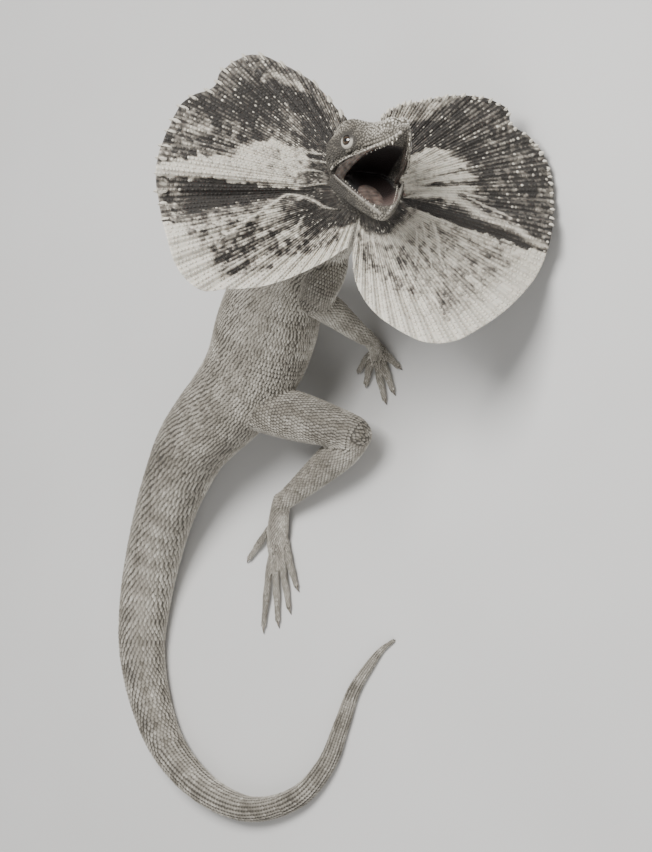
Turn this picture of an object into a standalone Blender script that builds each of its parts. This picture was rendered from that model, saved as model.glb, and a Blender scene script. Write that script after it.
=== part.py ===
# Frilled lizard, an adult at life size, standing still with its mouth open and its frill spread.
# Design frame: millimetres, +X the way the trunk heads, +Y its left side, +Z up, floor at z = 0.
# The lizard's right side (-Y) is the one that its display is turned to.

import math

import bmesh
import bpy
import numpy as np
from mathutils import Matrix, Vector

MM = 0.001
GAP = 0.32  # between two neighbouring nodes
JAW_GAP = 1.1  # between the skull's plain form and the lower jaw
FLOOR = 0.0

# Body line from the tail's tip to the nape: centre x, y, z, half width, half height, roll to its left in degrees.
BODY_LINE = (
    (-54, -133, 1.1, 1.1, 1.2, 0),
    (-62, -130, 1.7, 1.8, 1.8, 0),
    (-72, -129, 2.3, 2.5, 2.5, 0),
    (-90, -129, 3.1, 3.4, 3.4, 0),
    (-109, -134, 3.9, 4.2, 4.2, 0),
    (-132, -139, 4.7, 5.0, 5.0, 0),
    (-158, -134, 5.4, 5.8, 5.8, 0),
    (-183, -113, 6.3, 6.9, 6.8, 0),
    (-195, -81, 7.5, 8.2, 8.0, 0),
    (-194, -47, 8.9, 9.7, 9.4, 0),
    (-181, -19, 10.3, 11.2, 10.8, 0),
    (-161, 4, 11.8, 12.7, 12.2, 0),
    (-136, 18, 13.9, 14.2, 13.6, 0),
    (-110, 25, 18.5, 15.2, 14.6, 0),
    (-82, 27, 26, 16.4, 15.8, 0),
    (-59, 26, 32, 17.8, 17.4, 1),
    (-37, 23, 37.5, 19.6, 19.2, 2),
    (-19, 17, 41, 21.5, 20.6, 3),
    (-2, 11, 43, 23.6, 21.4, 5),
    (15, 7, 44.5, 25.4, 22.6, 7),
    (31, 6, 46, 27.6, 24.4, 9),
    (46, 8, 48, 28.8, 25.2, 12),
    (60, 10, 50, 28.2, 24.8, 15),
    (74, 11, 52, 26.0, 23.8, 19),
    (88, 8, 54.5, 23.6, 22.6, 24),
    (102, 1, 59, 20.8, 21.0, 32),
    (118, -10, 67, 17.4, 18.2, 44),
    (133, -22, 78, 15.4, 16.0, 60),
    (144, -32, 88, 14.6, 15.0, 76),
)
BODY_CUTS = (  # nodes along the body line, each from one row of it to another, and the sides of its sections
    ("tail_tip", 0.0, 6.0, 12),
    ("tail_end", 6.0, 10.0, 14),
    ("tail_middle", 10.0, 13.5, 16),
    ("tail_base", 13.5, 17.2, 18),
    ("torso", 17.2, 25.2, 22),
    ("neck", 25.2, 28.0, 20),
)
STEPS_PER_ROW = 2
SECTION_POWER = 2.25

TAIL_TIP_SHARE = 0.45  # the last section's size, so that the tail ends in a point

# Head frame: its origin between the ears, the way it points, and its roll to the left.
HEAD_CENTRE = (162, -37.5, 98.2)
HEAD_AZIMUTH, HEAD_ELEVATION, HEAD_ROLL = -48.5, 31.3, 90.0
# Skull sections: forward, half width, top, lip line.
SKULL_LINE = (
    (-12, 9.0, 7.5, -10.0),
    (-6, 16.5, 12.0, -11.0),
    (1, 20.2, 14.8, -8.0),
    (8, 19.8, 15.9, -5.4),
    (16, 17.6, 15.7, -4.3),
    (25, 14.1, 12.5, -4.0),
    (41, 7.9, 8.8, -4.0),
    (47, 5.8, 6.0, -4.0),
    (52, 4.0, 3.4, -3.6),
    (55.5, 2.4, 1.5, -2.7),
    (57, 0.9, 0.2, -1.4),
)
SKULL_MIDDLE, SKULL_POWER, SKULL_SIDES = 0.42, 2.7, 20
BROW_LINE = (
    (3, 14.0, 11.8, 2.2),
    (10, 13.4, 13.7, 2.7),
    (18, 12.2, 13.2, 2.7),
    (26, 9.8, 10.6, 2.0),
    (33, 7.4, 8.2, 1.1),
)
EYE_PLACE = (19.0, 13.4, 4.0)
EYE_RADIUS = 4.4
SOCKET_SET_IN, SOCKET_SIZE = 1.0, (6.0, 5.0, 5.6)
LID_PLACE, LID_AXIS = (0.3, 2.5, 0), (0.25, 1, 0.1)  # from the eye's middle, and the way the lids face
LID_RADIUS, LID_THICKNESS = 3.5, 1.2
EAR_PLACE, EAR_RADIUS, EAR_RIM = (3.5, 19.9, -1.5), 3.0, 1.0
EAR_RIM_SET_IN, EAR_HOLE_SET_OUT, EAR_HOLE_SIZE = 1.1, 1.2, (2.3, 4.0, 2.6)
NOSTRIL_PLACE, NOSTRIL_SIZE = (50.0, 4.6, 1.6), (1.0, 1.8, 0.9)
PALATE_CENTRE, PALATE_SIZE = (17, 0, -8.5), (26, 13.6, 9.0)

# Lower jaw: hinge in the head frame, how far it drops and turns to its right, then sections along it.
JAW_HINGE = (1.5, 0, -7.8)
JAW_DROP, JAW_TURN = 40.8, 6.5
JAW_LINE = (
    (-8, 14.0, -1.0, -9.0),
    (-3, 17.2, 1.0, -10.0),
    (5, 18.0, 2.0, -9.6),
    (14, 15.6, 2.2, -8.6),
    (23, 12.4, 2.2, -7.6),
    (32, 8.8, 2.2, -6.4),
    (39, 5.4, 2.0, -5.0),
    (43, 3.0, 1.6, -3.6),
    (45, 1.2, 0.8, -2.0),
)
JAW_MIDDLE, JAW_POWER, JAW_SIDES = 0.55, 2.3, 18
MOUTH_FLOOR_CENTRE, MOUTH_FLOOR_SIZE = (14, 0, 4.0), (23, 11.8, 8.0)
TONGUE_CENTRE, TONGUE_SIZE = (18, 0, -3.0), (14, 6.2, 3.8)
# Lips and teeth follow each jaw's edge: share of its half width, lift from it, where they start and end.
UPPER_LIP, LOWER_LIP, LIP_RADIUS = (0.92, 0.8, 4, 54), (0.92, -0.5, 6, 43), 0.85
UPPER_TEETH, LOWER_TEETH = (0.80, 0.2, 12, 51), (0.80, -0.5, 12, 41.5)
TEETH_PER_SIDE = 7
TOOTH_ROOT, TOOTH_LEAN = 0.9, 0.3
TOOTH_LENGTH, TOOTH_RADIUS = 1.5, 0.62
FANG_LENGTH, FANG_RADIUS = 3.0, 0.9

# Frill: its middle, the way it faces, and its reach at each angle from the crown, clockwise as seen from the front.
FRILL_CENTRE = (151, -40.5, 92)
FRILL_AZIMUTH, FRILL_ELEVATION, FRILL_ROLL = -65.0, 50.0, 80.0
FRILL_ROOT = 13.0
FRILL_THICKNESS = 1.25
FRILL_SET_BACK = 5.0
FRILL_TILT_UP = 0.30
FRILL_EASE = 1.6  # folds and pleats reach their full height this much before the margin
RIGHT_REACH = (
    (-14, 37), (-19, 43), (-25, 58), (-33, 74), (-40, 87), (-51, 91), (-57, 89), (-65, 97), (-75, 99),
    (-88, 101), (-97, 100), (-106, 99), (-116, 99.5), (-124, 95), (-128, 85), (-134, 73.5), (-146, 51),
    (-158, 36), (-165, 31),
)
LEFT_REACH = (
    (13, 38), (23, 48), (32, 55), (45, 72), (52, 81), (59, 86.5), (64, 84.5), (71, 91.5), (80, 96),
    (90, 97), (104, 97), (114, 97), (125, 94), (140, 90), (150, 88), (159, 82.5), (168, 72), (178, 60),
    (186, 47), (191, 33),
)
RIGHT_SLOPE, LEFT_SLOPE = 0.36, 0.33  # how far each half leans forward or back for each millimetre sideways
# Great folds of each half: angle, half width in degrees, rise at the margin (a groove is negative).
RIGHT_FOLDS = ((-84, 6, 3.0), (-95, 6, -7.0), (-107, 7, 4.5), (-132, 14, -4.0), (-50, 16, -3.0))
LEFT_FOLDS = ((103, 6, 4.5), (114, 8, -5.0), (150, 18, 3.0), (70, 14, -3.0), (92, 6, -1.5))
PLEAT_HEIGHT = 0.9
PLEATS = 30
FRILL_RINGS = 9
EDGE_POINT = 1.7  # how far the scale at each pleat's end stands past the margin
EDGE_POINTS_TO = 112  # degrees from the crown, beyond which the margin is smooth

# Legs: rows of x, y, z and radius, from the root inside the trunk to the far joint.
LIMBS = {
    "thigh_right": ((4, 4, 44, 12), (12, -16, 41, 13.6), (19, -36, 34, 12.6), (26, -56, 25, 9.6), (27, -61, 23.5, 8.6)),
    "shin_right": ((27, -61, 23, 8.4), (12, -55, 20, 9.4), (-10, -44, 15.5, 7.6), (-29, -34, 11.5, 5.6),
                   (-36, -30, 10.5, 5.2)),
    "upper_arm_right": ((108, -8, 56, 9), (100, -16, 58, 10), (89, -20, 59.5, 9.6), (79, -20, 59, 8.0)),
    "forearm_right": ((79, -20, 58, 7.8), (78, -23, 48, 8.0), (73, -25, 30, 6.2), (68.5, -26.5, 14, 4.6)),
    "thigh_left": ((2, 16, 44, 12), (14, 28, 37, 13), (27, 40, 27, 11.6), (38, 49, 19, 9.2), (41, 51, 17.5, 8.2)),
    "shin_left": ((41, 51, 17, 8.0), (24, 51, 16, 9.0), (2, 47, 14, 7.4), (-20, 42.5, 11.5, 5.6), (-27, 41, 10.5, 5.2)),
    "upper_arm_left": ((101, 8, 54, 9), (98, 22, 52, 9.8), (90, 36, 46, 9.0), (84, 43, 41, 7.8)),
    "forearm_left": ((84, 43, 40.5, 7.6), (90, 46, 33, 7.8), (99, 50, 21, 6.0), (105, 52, 12, 4.6)),
}
LIMB_SIDES, PALM_SIDES = 11, 11
# Hands and feet: palm rows of x, y, z, half width, half height, then each toe's knuckle and tip.
PAWS = {
    "hand_right": (
        ((69.5, -26, 14, 4.2, 4.2), (67, -28, 8, 5.2, 4.0), (64, -31, 4.6, 6.6, 3.6), (60, -34, 3.6, 5.4, 3.0)),
        (((61, -28, 3.4), (47, -25, 1.2)), ((58, -31, 3.6), (44, -34, 1.2)), ((59, -35, 3.6), (44, -51, 1.2)),
         ((62, -37, 3.6), (51, -53, 1.2)), ((66, -35, 3.4), (64, -48, 1.2))),
    ),
    "hand_left": (
        ((104, 52, 13, 4.2, 4.2), (108, 53, 8, 5.2, 4.0), (113, 54, 4.6, 6.6, 3.6), (117, 55, 3.6, 5.4, 3.0)),
        (((112, 49, 3.4), (120, 37, 1.2)), ((117, 51, 3.6), (133, 42, 1.2)), ((119, 55, 3.6), (142, 55, 1.2)),
         ((118, 58, 3.6), (135, 68, 1.2)), ((113, 59, 3.4), (119, 73, 1.2))),
    ),
    "foot_right": (
        ((-35, -30.5, 11.5, 5.0, 5.0), (-43, -31, 8, 5.8, 4.8), (-52, -34, 5.6, 7.0, 4.2), (-61, -38, 4.2, 6.2, 3.4)),
        (((-47, -29, 4.2), (-80, -23, 1.3)), ((-61, -35.5, 4.2), (-104, -57, 1.3)), ((-62, -39, 4.0), (-95, -64, 1.3)),
         ((-60, -42, 3.8), (-84, -66, 1.3)), ((-56, -43, 3.6), (-71, -63, 1.3))),
    ),
    "foot_left": (
        ((-26, 41, 11.5, 5.0, 5.0), (-34, 41, 8, 5.8, 4.8), (-43, 43, 5.6, 7.0, 4.2), (-52, 46, 4.2, 6.2, 3.4)),
        (((-38, 39, 4.2), (-71, 34, 1.3)), ((-52, 44, 4.2), (-96, 59, 1.3)), ((-53, 47, 4.0), (-88, 68, 1.3)),
         ((-51, 50, 3.8), (-77, 72, 1.3)), ((-47, 51, 3.6), (-63, 70, 1.3))),
    ),
}
TOE_RADIUS, TOE_SIDES = 2.1, 6
TOE_ROOT = 3.0  # how far each toe starts inside its palm
TOE_ARCH = ((0.35, 1.2), (0.7, 0.9), (0.92, 0.7))  # share of the toe's length, and lift there
TOE_TAPER = (1.0, 0.92, 0.78, 0.6)
CLAW_RADIUS, CLAW_REACH, CLAW_ROOT, CLAW_CLEARANCE = 0.88, 1.44, 0.6, 0.15

SKIN_COLOUR, SKIN_ROUGHNESS, EYE_ROUGHNESS = (0.42, 0.40, 0.35, 1.0), 0.75, 0.15
NODE_COLOURS = {
    "eye": (0.03, 0.02, 0.015, 1.0),
    "frill": (0.58, 0.55, 0.47, 1.0),
    "lower_jaw": (0.45, 0.38, 0.33, 1.0),
}


def clear_scene():
    for obj in list(bpy.data.objects):
        bpy.data.objects.remove(obj, do_unlink=True)


def smooth_rows(rows, steps):
    """Catmull-Rom values between the rows, with steps of them from one row to the next."""
    table = np.array(rows, float)
    last = len(table) - 1
    padded = np.vstack([2 * table[0] - table[1], table, 2 * table[-1] - table[-2]])
    out = []
    for place in np.linspace(0, last, last * steps + 1):
        out.append(row_at(padded, place, last))
    return np.array(out)


def row_at(padded, place, last):
    i = min(int(place), last - 1)
    t = place - i
    a, b, c, d = padded[i : i + 4]
    return 0.5 * (2 * b + (c - a) * t + (2 * a - 5 * b + 4 * c - d) * t**2 + (3 * b - a - 3 * c + d) * t**3)


def tangents(points):
    ways = np.gradient(points, axis=0)
    return ways / np.linalg.norm(ways, axis=1)[:, None]


def side_and_up(way, roll, up=(0, 0, 1)):
    """The left and up directions across a body line, rolled to its left by roll degrees."""
    left = np.cross(up, way)
    left /= np.linalg.norm(left)
    over = np.cross(way, left)
    c, s = math.cos(math.radians(roll)), math.sin(math.radians(roll))
    return c * left - s * over, c * over + s * left


def ring(centre, left, up, half_width, top, bottom, power, sides):
    """One closed section; top and bottom are its reach above and below the centre."""
    points = []
    for i in range(sides):
        angle = 2 * math.pi * (i + 0.5) / sides
        c, s = math.cos(angle), math.sin(angle)
        x = math.copysign(abs(c) ** (2 / power), c) * half_width
        y = math.copysign(abs(s) ** (2 / power), s) * (top if s > 0 else bottom)
        points.append(centre + x * left + y * up)
    return points


def new_object(name, points, faces):
    mesh = bpy.data.meshes.new(name)
    mesh.from_pydata([Vector(p) * MM for p in points], [], faces)
    obj = bpy.data.objects.new(name, mesh)
    bpy.context.scene.collection.objects.link(obj)
    face_out(obj)
    return obj


def face_out(obj):
    shape = bmesh.new()
    shape.from_mesh(obj.data)
    bmesh.ops.recalc_face_normals(shape, faces=shape.faces)
    if shape.calc_volume(signed=True) < 0:
        bmesh.ops.reverse_faces(shape, faces=shape.faces)
    shape.to_mesh(obj.data)
    shape.free()


def loft(name, rings):
    """A closed tube through rings of equal count, with flat ends."""
    sides = len(rings[0])
    points = [p for one in rings for p in one]
    faces = [list(range(sides))[::-1], list(range((len(rings) - 1) * sides, len(rings) * sides))]
    for j in range(len(rings) - 1):
        for i in range(sides):
            k = (i + 1) % sides
            faces.append([j * sides + i, j * sides + k, (j + 1) * sides + k, (j + 1) * sides + i])
    return new_object(name, points, faces)


def round_tube(name, rows, sides, steps=3, floor=None, dome=(0.75, 0.35)):
    """A limb or a toe: rows of x, y, z and one or two radii, with domed ends."""
    table = smooth_rows(rows, steps)
    if table.shape[1] == 4:
        table = np.column_stack([table, table[:, 3]])
    ways = tangents(table[:, :3])
    rings = []
    for way, row in zip(ways, table):
        left, up = side_and_up(way, 0, (0, 0, 1) if abs(way[2]) < 0.9 else (1, 0, 0))
        rings.append(ring(row[:3], left, up, row[3], row[4], row[4], 2, sides))
    for first, way, row in ((True, -ways[0], table[0]), (False, ways[-1], table[-1])):
        left, up = side_and_up(ways[0 if first else -1], 0, (0, 0, 1) if abs(way[2]) < 0.9 else (1, 0, 0))
        for share in dome:
            out = row[:3] + way * row[3] * math.sqrt(1 - share**2) * 0.9
            cap = ring(out, left, up, row[3] * share, row[4] * share, row[4] * share, 2, sides)
            rings = [cap] + rings if first else rings + [cap]
    if floor is not None:
        rings = [[np.array((p[0], p[1], max(p[2], floor))) for p in one] for one in rings]
    return loft(name, rings)


def apply_modifiers(obj):
    graph = bpy.context.evaluated_depsgraph_get()
    mesh = bpy.data.meshes.new_from_object(obj.evaluated_get(graph))
    obj.modifiers.clear()
    old = obj.data
    obj.data = mesh
    bpy.data.meshes.remove(old)


def join_pieces(obj, pieces):
    """Fuses the closed pieces into the object with one union."""
    group = bpy.data.collections.new(obj.name + "_pieces")
    bpy.context.scene.collection.children.link(group)
    for piece in pieces:
        group.objects.link(piece)
    union = obj.modifiers.new("union", "BOOLEAN")
    union.operation = "UNION"
    union.operand_type = "COLLECTION"
    union.collection = group
    union.solver = "EXACT"
    apply_modifiers(obj)
    for piece in pieces:
        bpy.data.objects.remove(piece, do_unlink=True)
    bpy.data.collections.remove(group)
    keep_largest(obj)


def cut_away(obj, cutters, solver="EXACT"):
    for cutter in cutters:
        cut = obj.modifiers.new("cut", "BOOLEAN")
        cut.operation = "DIFFERENCE"
        cut.object = cutter
        cut.solver = solver
        apply_modifiers(obj)
        bpy.data.objects.remove(cutter, do_unlink=True)
    keep_largest(obj)


def keep_largest(obj):
    """Keeps only the largest closed surface of the object."""
    shape = bmesh.new()
    shape.from_mesh(obj.data)
    left = set(shape.faces)
    islands = []
    while left:
        stack, island = [left.pop()], []
        while stack:
            face = stack.pop()
            island.append(face)
            for edge in face.edges:
                for other in edge.link_faces:
                    if other in left:
                        left.remove(other)
                        stack.append(other)
        islands.append(island)
    islands.sort(key=lambda island: sum(f.calc_area() for f in island))
    scraps = [f for island in islands[:-1] for f in island]
    bmesh.ops.delete(shape, geom=scraps, context="FACES")
    loose = [v for v in shape.verts if not v.link_faces]
    bmesh.ops.delete(shape, geom=loose, context="VERTS")
    shape.to_mesh(obj.data)
    shape.free()


def grown_copy(obj, by=GAP):
    """A cutter a little larger than the object all over."""
    copy = obj.copy()
    copy.data = obj.data.copy()
    bpy.context.scene.collection.objects.link(copy)
    shape = bmesh.new()
    shape.from_mesh(copy.data)
    shape.normal_update()
    moves = [(v, v.normal * by * MM) for v in shape.verts]
    for vertex, move in moves:
        vertex.co += move
    shape.to_mesh(copy.data)
    shape.free()
    copy.hide_render = True
    copy.display_type = "WIRE"
    return copy


def ellipsoid(name, centre, size, sides=14, rings=8):
    points = [centre + np.array((0, 0, size[2]))]
    for j in range(1, rings):
        lean = math.pi * j / rings
        for i in range(sides):
            turn = 2 * math.pi * i / sides
            points.append(
                centre + np.array((size[0] * math.sin(lean) * math.cos(turn),
                                   size[1] * math.sin(lean) * math.sin(turn), size[2] * math.cos(lean)))
            )
    points.append(centre - np.array((0, 0, size[2])))
    faces = [[0, 1 + i, 1 + (i + 1) % sides] for i in range(sides)]
    for j in range(rings - 2):
        for i in range(sides):
            a, b = 1 + j * sides + i, 1 + j * sides + (i + 1) % sides
            faces.append([a, a + sides, b + sides, b])
    base = 1 + (rings - 2) * sides
    faces += [[base + i, len(points) - 1, base + (i + 1) % sides] for i in range(sides)]
    return new_object(name, points, faces)


def cone(name, base, tip, radius, sides=5):
    base, tip = np.array(base, float), np.array(tip, float)
    way = (tip - base) / np.linalg.norm(tip - base)
    left, up = side_and_up(way, 0, (0, 0, 1) if abs(way[2]) < 0.9 else (1, 0, 0))
    points = ring(base, left, up, radius, radius, radius, 2, sides) + [tip]
    faces = [list(range(sides))] + [[i, (i + 1) % sides, sides] for i in range(sides)]
    return new_object(name, points, faces)


def turned_frame(centre, azimuth, elevation, roll):
    """A frame whose X points along azimuth and elevation, Y to its left, rolled to its left."""
    turn = (Matrix.Rotation(math.radians(azimuth), 4, "Z") @ Matrix.Rotation(-math.radians(elevation), 4, "Y")
            @ Matrix.Rotation(-math.radians(roll), 4, "X"))
    return Matrix.Translation(Vector(centre) * MM) @ turn


def place(obj, frame):
    obj.data.transform(frame)
    obj.data.update()
    return obj


def body_nodes():
    rows = smooth_rows(BODY_LINE, STEPS_PER_ROW)
    centres = rows[:, :3]
    ways = tangents(centres)
    lengths = np.concatenate([[0], np.cumsum(np.linalg.norm(np.diff(centres, axis=0), axis=1))])
    places = np.linspace(0, len(BODY_LINE) - 1, len(rows))
    nodes = {}
    for name, first, last, sides in BODY_CUTS:
        start = np.interp(first, places, lengths) + (GAP / 2 if first > 0 else 0)
        end = np.interp(last, places, lengths) - (GAP / 2 if last < len(BODY_LINE) - 1 else 0)
        stops = [start] + [s for s in lengths if start + 1 < s < end - 1] + [end]
        rings = [body_ring(stop, lengths, rows, ways, sides) for stop in stops]
        if name == "tail_tip":
            rings[0] = [centres[0] + (p - centres[0]) * TAIL_TIP_SHARE for p in rings[0]]
        nodes[name] = loft(name, rings)
    return nodes


def body_ring(stop, lengths, rows, ways, sides):
    row = np.array([np.interp(stop, lengths, rows[:, k]) for k in range(6)])
    way = np.array([np.interp(stop, lengths, ways[:, k]) for k in range(3)])
    left, up = side_and_up(way / np.linalg.norm(way), row[5])
    points = ring(row[:3], left, up, row[3], row[4], row[4], SECTION_POWER, sides)
    return [np.array((p[0], p[1], max(p[2], FLOOR))) for p in points]


def jaw_rings(line, middle_share, power, sides):
    """Sections of the skull or the lower jaw, across their forward axis."""
    rings = []
    for forward, half_width, top, bottom in smooth_rows(line, STEPS_PER_ROW):
        middle = bottom + middle_share * (top - bottom)
        rings.append(ring(np.array((forward, 0, middle)), np.array((0, 1.0, 0)), np.array((0, 0, 1.0)),
                          half_width, top - middle, middle - bottom, power, sides))
    return rings


def skull(name):
    return loft(name, jaw_rings(SKULL_LINE, SKULL_MIDDLE, SKULL_POWER, SKULL_SIDES))


def rim(line, edge, side, run, steps=6):
    """Points along a jaw's edge; edge is 3 for the skull's lower line and 2 for the lower jaw's upper line."""
    share, lift, start, end = run
    table = np.array(line, float)
    stops = np.linspace(start, end, steps + 1)
    return [(f, share * side * np.interp(f, table[:, 0], table[:, 1]), lift + np.interp(f, table[:, 0], table[:, edge]))
            for f in stops]


def lip(line, edge, side, run):
    return round_tube("lip", [(*spot, LIP_RADIUS) for spot in rim(line, edge, side, run)], 6, 1)


def mirrored(points, side):
    return [(x, y * side, z, *rest) for x, y, z, *rest in points]


def torus(name, centre, axis, radius, thickness, sides=14, around=6):
    axis = np.array(axis, float) / np.linalg.norm(axis)
    left, up = side_and_up(axis, 0, (0, 0, 1) if abs(axis[2]) < 0.9 else (1, 0, 0))
    points, faces = [], []
    for i in range(sides):
        turn = 2 * math.pi * i / sides
        out = math.cos(turn) * left + math.sin(turn) * up
        for j in range(around):
            round_ = 2 * math.pi * j / around
            points.append(centre + out * (radius + thickness * math.cos(round_)) + axis * thickness * math.sin(round_))
            a, b = i * around + j, i * around + (j + 1) % around
            c, d = ((i + 1) % sides) * around + (j + 1) % around, ((i + 1) % sides) * around + j
            faces.append([a, b, c, d])
    return new_object(name, points, faces)


def tooth_row(name, spots, down):
    """Teeth along half a jaw's rim, the fangs near its front."""
    teeth = []
    for i, spot in enumerate(spots):
        fang = i == TEETH_PER_SIDE - 2
        length, radius = (FANG_LENGTH, FANG_RADIUS) if fang else (TOOTH_LENGTH, TOOTH_RADIUS)
        base = np.array(spot) + np.array((0, 0, down * TOOTH_ROOT))
        tip = np.array(spot) + np.array((TOOTH_LEAN, 0, -down * length))
        teeth.append(cone(f"{name}_{i}", base, tip, radius, 5))
    return teeth


def on_side(point, side):
    return np.array((point[0], point[1] * side, point[2]), float)


def head_nodes(frame):
    head = skull("head")
    pieces = []
    for side in (1, -1):
        eye, ear = on_side(EYE_PLACE, side), on_side(EAR_PLACE, side)
        pieces.append(round_tube("brow", mirrored(BROW_LINE, side), 7, 2))
        pieces.append(ellipsoid("socket", eye - on_side((0, SOCKET_SET_IN, 0), side), SOCKET_SIZE, 12, 8))
        pieces.append(torus("lid", eye + on_side(LID_PLACE, side), on_side(LID_AXIS, side), LID_RADIUS, LID_THICKNESS))
        ear_rim = ear - on_side((0, EAR_RIM_SET_IN, 0), side)
        pieces.append(torus("ear_rim", ear_rim, (0, side, 0), EAR_RADIUS, EAR_RIM, 12, 6))
        pieces.append(lip(SKULL_LINE, 3, side, UPPER_LIP))
    join_pieces(head, pieces)
    cutters = [ellipsoid("palate", np.array(PALATE_CENTRE, float), PALATE_SIZE, 16, 9)]
    eyes = []
    for side, which in ((-1, "right"), (1, "left")):
        eye = on_side(EYE_PLACE, side)
        cutters.append(ellipsoid("eye_hole", eye, [EYE_RADIUS + GAP] * 3, 16, 10))
        ear = on_side(EAR_PLACE, side) + on_side((0, EAR_HOLE_SET_OUT, 0), side)
        cutters.append(ellipsoid("ear_hole", ear, EAR_HOLE_SIZE, 10, 6))
        cutters.append(ellipsoid("nostril", on_side(NOSTRIL_PLACE, side), NOSTRIL_SIZE, 8, 6))
        eyes.append(ellipsoid("eye_" + which, eye, [EYE_RADIUS] * 3, 16, 10))
    cut_away(head, cutters)
    teeth = []
    for side in (1, -1):
        teeth += tooth_row("upper_tooth", rim(SKULL_LINE, 3, side, UPPER_TEETH, TEETH_PER_SIDE - 1), 1)
    join_pieces(head, teeth)
    for obj in [head, *eyes]:
        place(obj, frame)
    return head, eyes


def jaw_node(frame):
    jaw = loft("lower_jaw", jaw_rings(JAW_LINE, JAW_MIDDLE, JAW_POWER, JAW_SIDES))
    cut_away(jaw, [ellipsoid("mouth_floor", np.array(MOUTH_FLOOR_CENTRE), MOUTH_FLOOR_SIZE, 16, 9)])
    pieces = [ellipsoid("tongue", np.array(TONGUE_CENTRE), TONGUE_SIZE, 12, 8)]
    for side in (1, -1):
        pieces.append(lip(JAW_LINE, 2, side, LOWER_LIP))
        pieces += tooth_row("lower_tooth", rim(JAW_LINE, 2, side, LOWER_TEETH, TEETH_PER_SIDE - 1), -1)
    join_pieces(jaw, pieces)
    turn = Matrix.Rotation(math.radians(JAW_DROP), 4, "Y") @ Matrix.Rotation(-math.radians(JAW_TURN), 4, "Z")
    place(jaw, frame @ Matrix.Translation(Vector(JAW_HINGE) * MM) @ turn)
    return jaw


def frill_half(name, reach, slope, folds, frame):
    """One half of the frill: a pleated sheet whose two faces are split alike."""
    angles, reaches = zip(*sorted(reach))
    columns = PLEATS * 2 + 1
    grid = []
    for i in range(columns):
        angle = angles[0] + (angles[-1] - angles[0]) * i / (columns - 1)
        out = float(np.interp(angle, angles, reaches))
        pleat = 1 if i % 2 else -1
        if pleat > 0 and abs(angle) < EDGE_POINTS_TO:
            out += EDGE_POINT
        fold = sum(rise * math.exp(-(((angle - middle) / width) ** 2)) for middle, width, rise in folds)
        turn = math.radians(angle)
        column = []
        for j in range(FRILL_RINGS + 1):
            share = j / FRILL_RINGS
            far = FRILL_ROOT + (out - FRILL_ROOT) * share
            x, y = far * math.sin(turn), far * math.cos(turn)
            ease = min(1.0, share * FRILL_EASE)
            depth = -slope * x - FRILL_TILT_UP * y - FRILL_SET_BACK * (1 - share)
            depth += fold * ease + pleat * PLEAT_HEIGHT * ease
            column.append((depth, x, y))
        grid.append(column)
    return place(sheet(name, grid, FRILL_THICKNESS), frame)


def sheet(name, grid, thickness):
    """A closed sheet from a grid of points, its back straight behind its front."""
    rows, cols = len(grid), len(grid[0])
    front = [np.array(p) for line in grid for p in line]
    points = front + [p - np.array((thickness, 0, 0)) for p in front]
    back = rows * cols
    faces = []
    for i in range(rows - 1):
        for j in range(cols - 1):
            a, b = i * cols + j, i * cols + j + 1
            c, d = b + cols, a + cols
            for one in ((a, b, c), (a, c, d)):
                faces.append(list(one))
                faces.append([back + k for k in reversed(one)])
    border = [i * cols for i in range(rows)] + [(rows - 1) * cols + j for j in range(1, cols)]
    border += [i * cols + cols - 1 for i in range(rows - 2, -1, -1)] + [j for j in range(cols - 2, 0, -1)]
    for k, one in enumerate(border):
        two = border[(k + 1) % len(border)]
        faces.append([one, back + one, back + two])
        faces.append([one, back + two, two])
    return new_object(name, points, faces)


def limb_node(name):
    return round_tube(name, LIMBS[name], LIMB_SIDES, STEPS_PER_ROW, FLOOR)


def paw_node(name):
    palm_rows, toes = PAWS[name]
    paw = round_tube(name, palm_rows, PALM_SIDES, STEPS_PER_ROW, FLOOR)
    pieces = []
    for knuckle, tip in toes:
        pieces += toe(knuckle, tip)
    join_pieces(paw, pieces)
    return paw


def toe(knuckle, tip):
    """A toe with its joints a little arched, and a hooked claw."""
    start, end = np.array(knuckle, float), np.array(tip, float)
    way = (end - start) / np.linalg.norm(end - start)
    flat = np.array((way[0], way[1], 0))
    arch = [start + (end - start) * share + np.array((0, 0, lift)) for share, lift in TOE_ARCH]
    spots = [start - flat * TOE_ROOT, *arch]
    rows = [(*spot, TOE_RADIUS * taper) for spot, taper in zip(spots, TOE_TAPER)]
    body = round_tube("toe", rows, TOE_SIDES, 1, FLOOR, (0.6,))
    claw_tip = end + flat * CLAW_REACH
    claw_tip[2] = CLAW_CLEARANCE
    return [body, cone("claw", arch[-1] - flat * CLAW_ROOT, claw_tip, CLAW_RADIUS, 4)]


def colour(obj):
    key = next((k for k in NODE_COLOURS if obj.name.startswith(k)), None)
    material = bpy.data.materials.new("paint_" + obj.name)
    material.use_nodes = True
    shader = material.node_tree.nodes["Principled BSDF"]
    shader.inputs["Base Color"].default_value = NODE_COLOURS.get(key, SKIN_COLOUR)
    shader.inputs["Roughness"].default_value = EYE_ROUGHNESS if key == "eye" else SKIN_ROUGHNESS
    obj.data.materials.clear()
    obj.data.materials.append(material)


def settle(nodes):
    """Moves the whole model so that the middle of its box's underside is the origin."""
    corners = np.array([v.co for obj in nodes for v in obj.data.vertices])
    low, high = corners.min(axis=0), corners.max(axis=0)
    shift = Vector((-(low[0] + high[0]) / 2, -(low[1] + high[1]) / 2, -low[2]))
    for obj in nodes:
        obj.data.transform(Matrix.Translation(shift))


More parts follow.
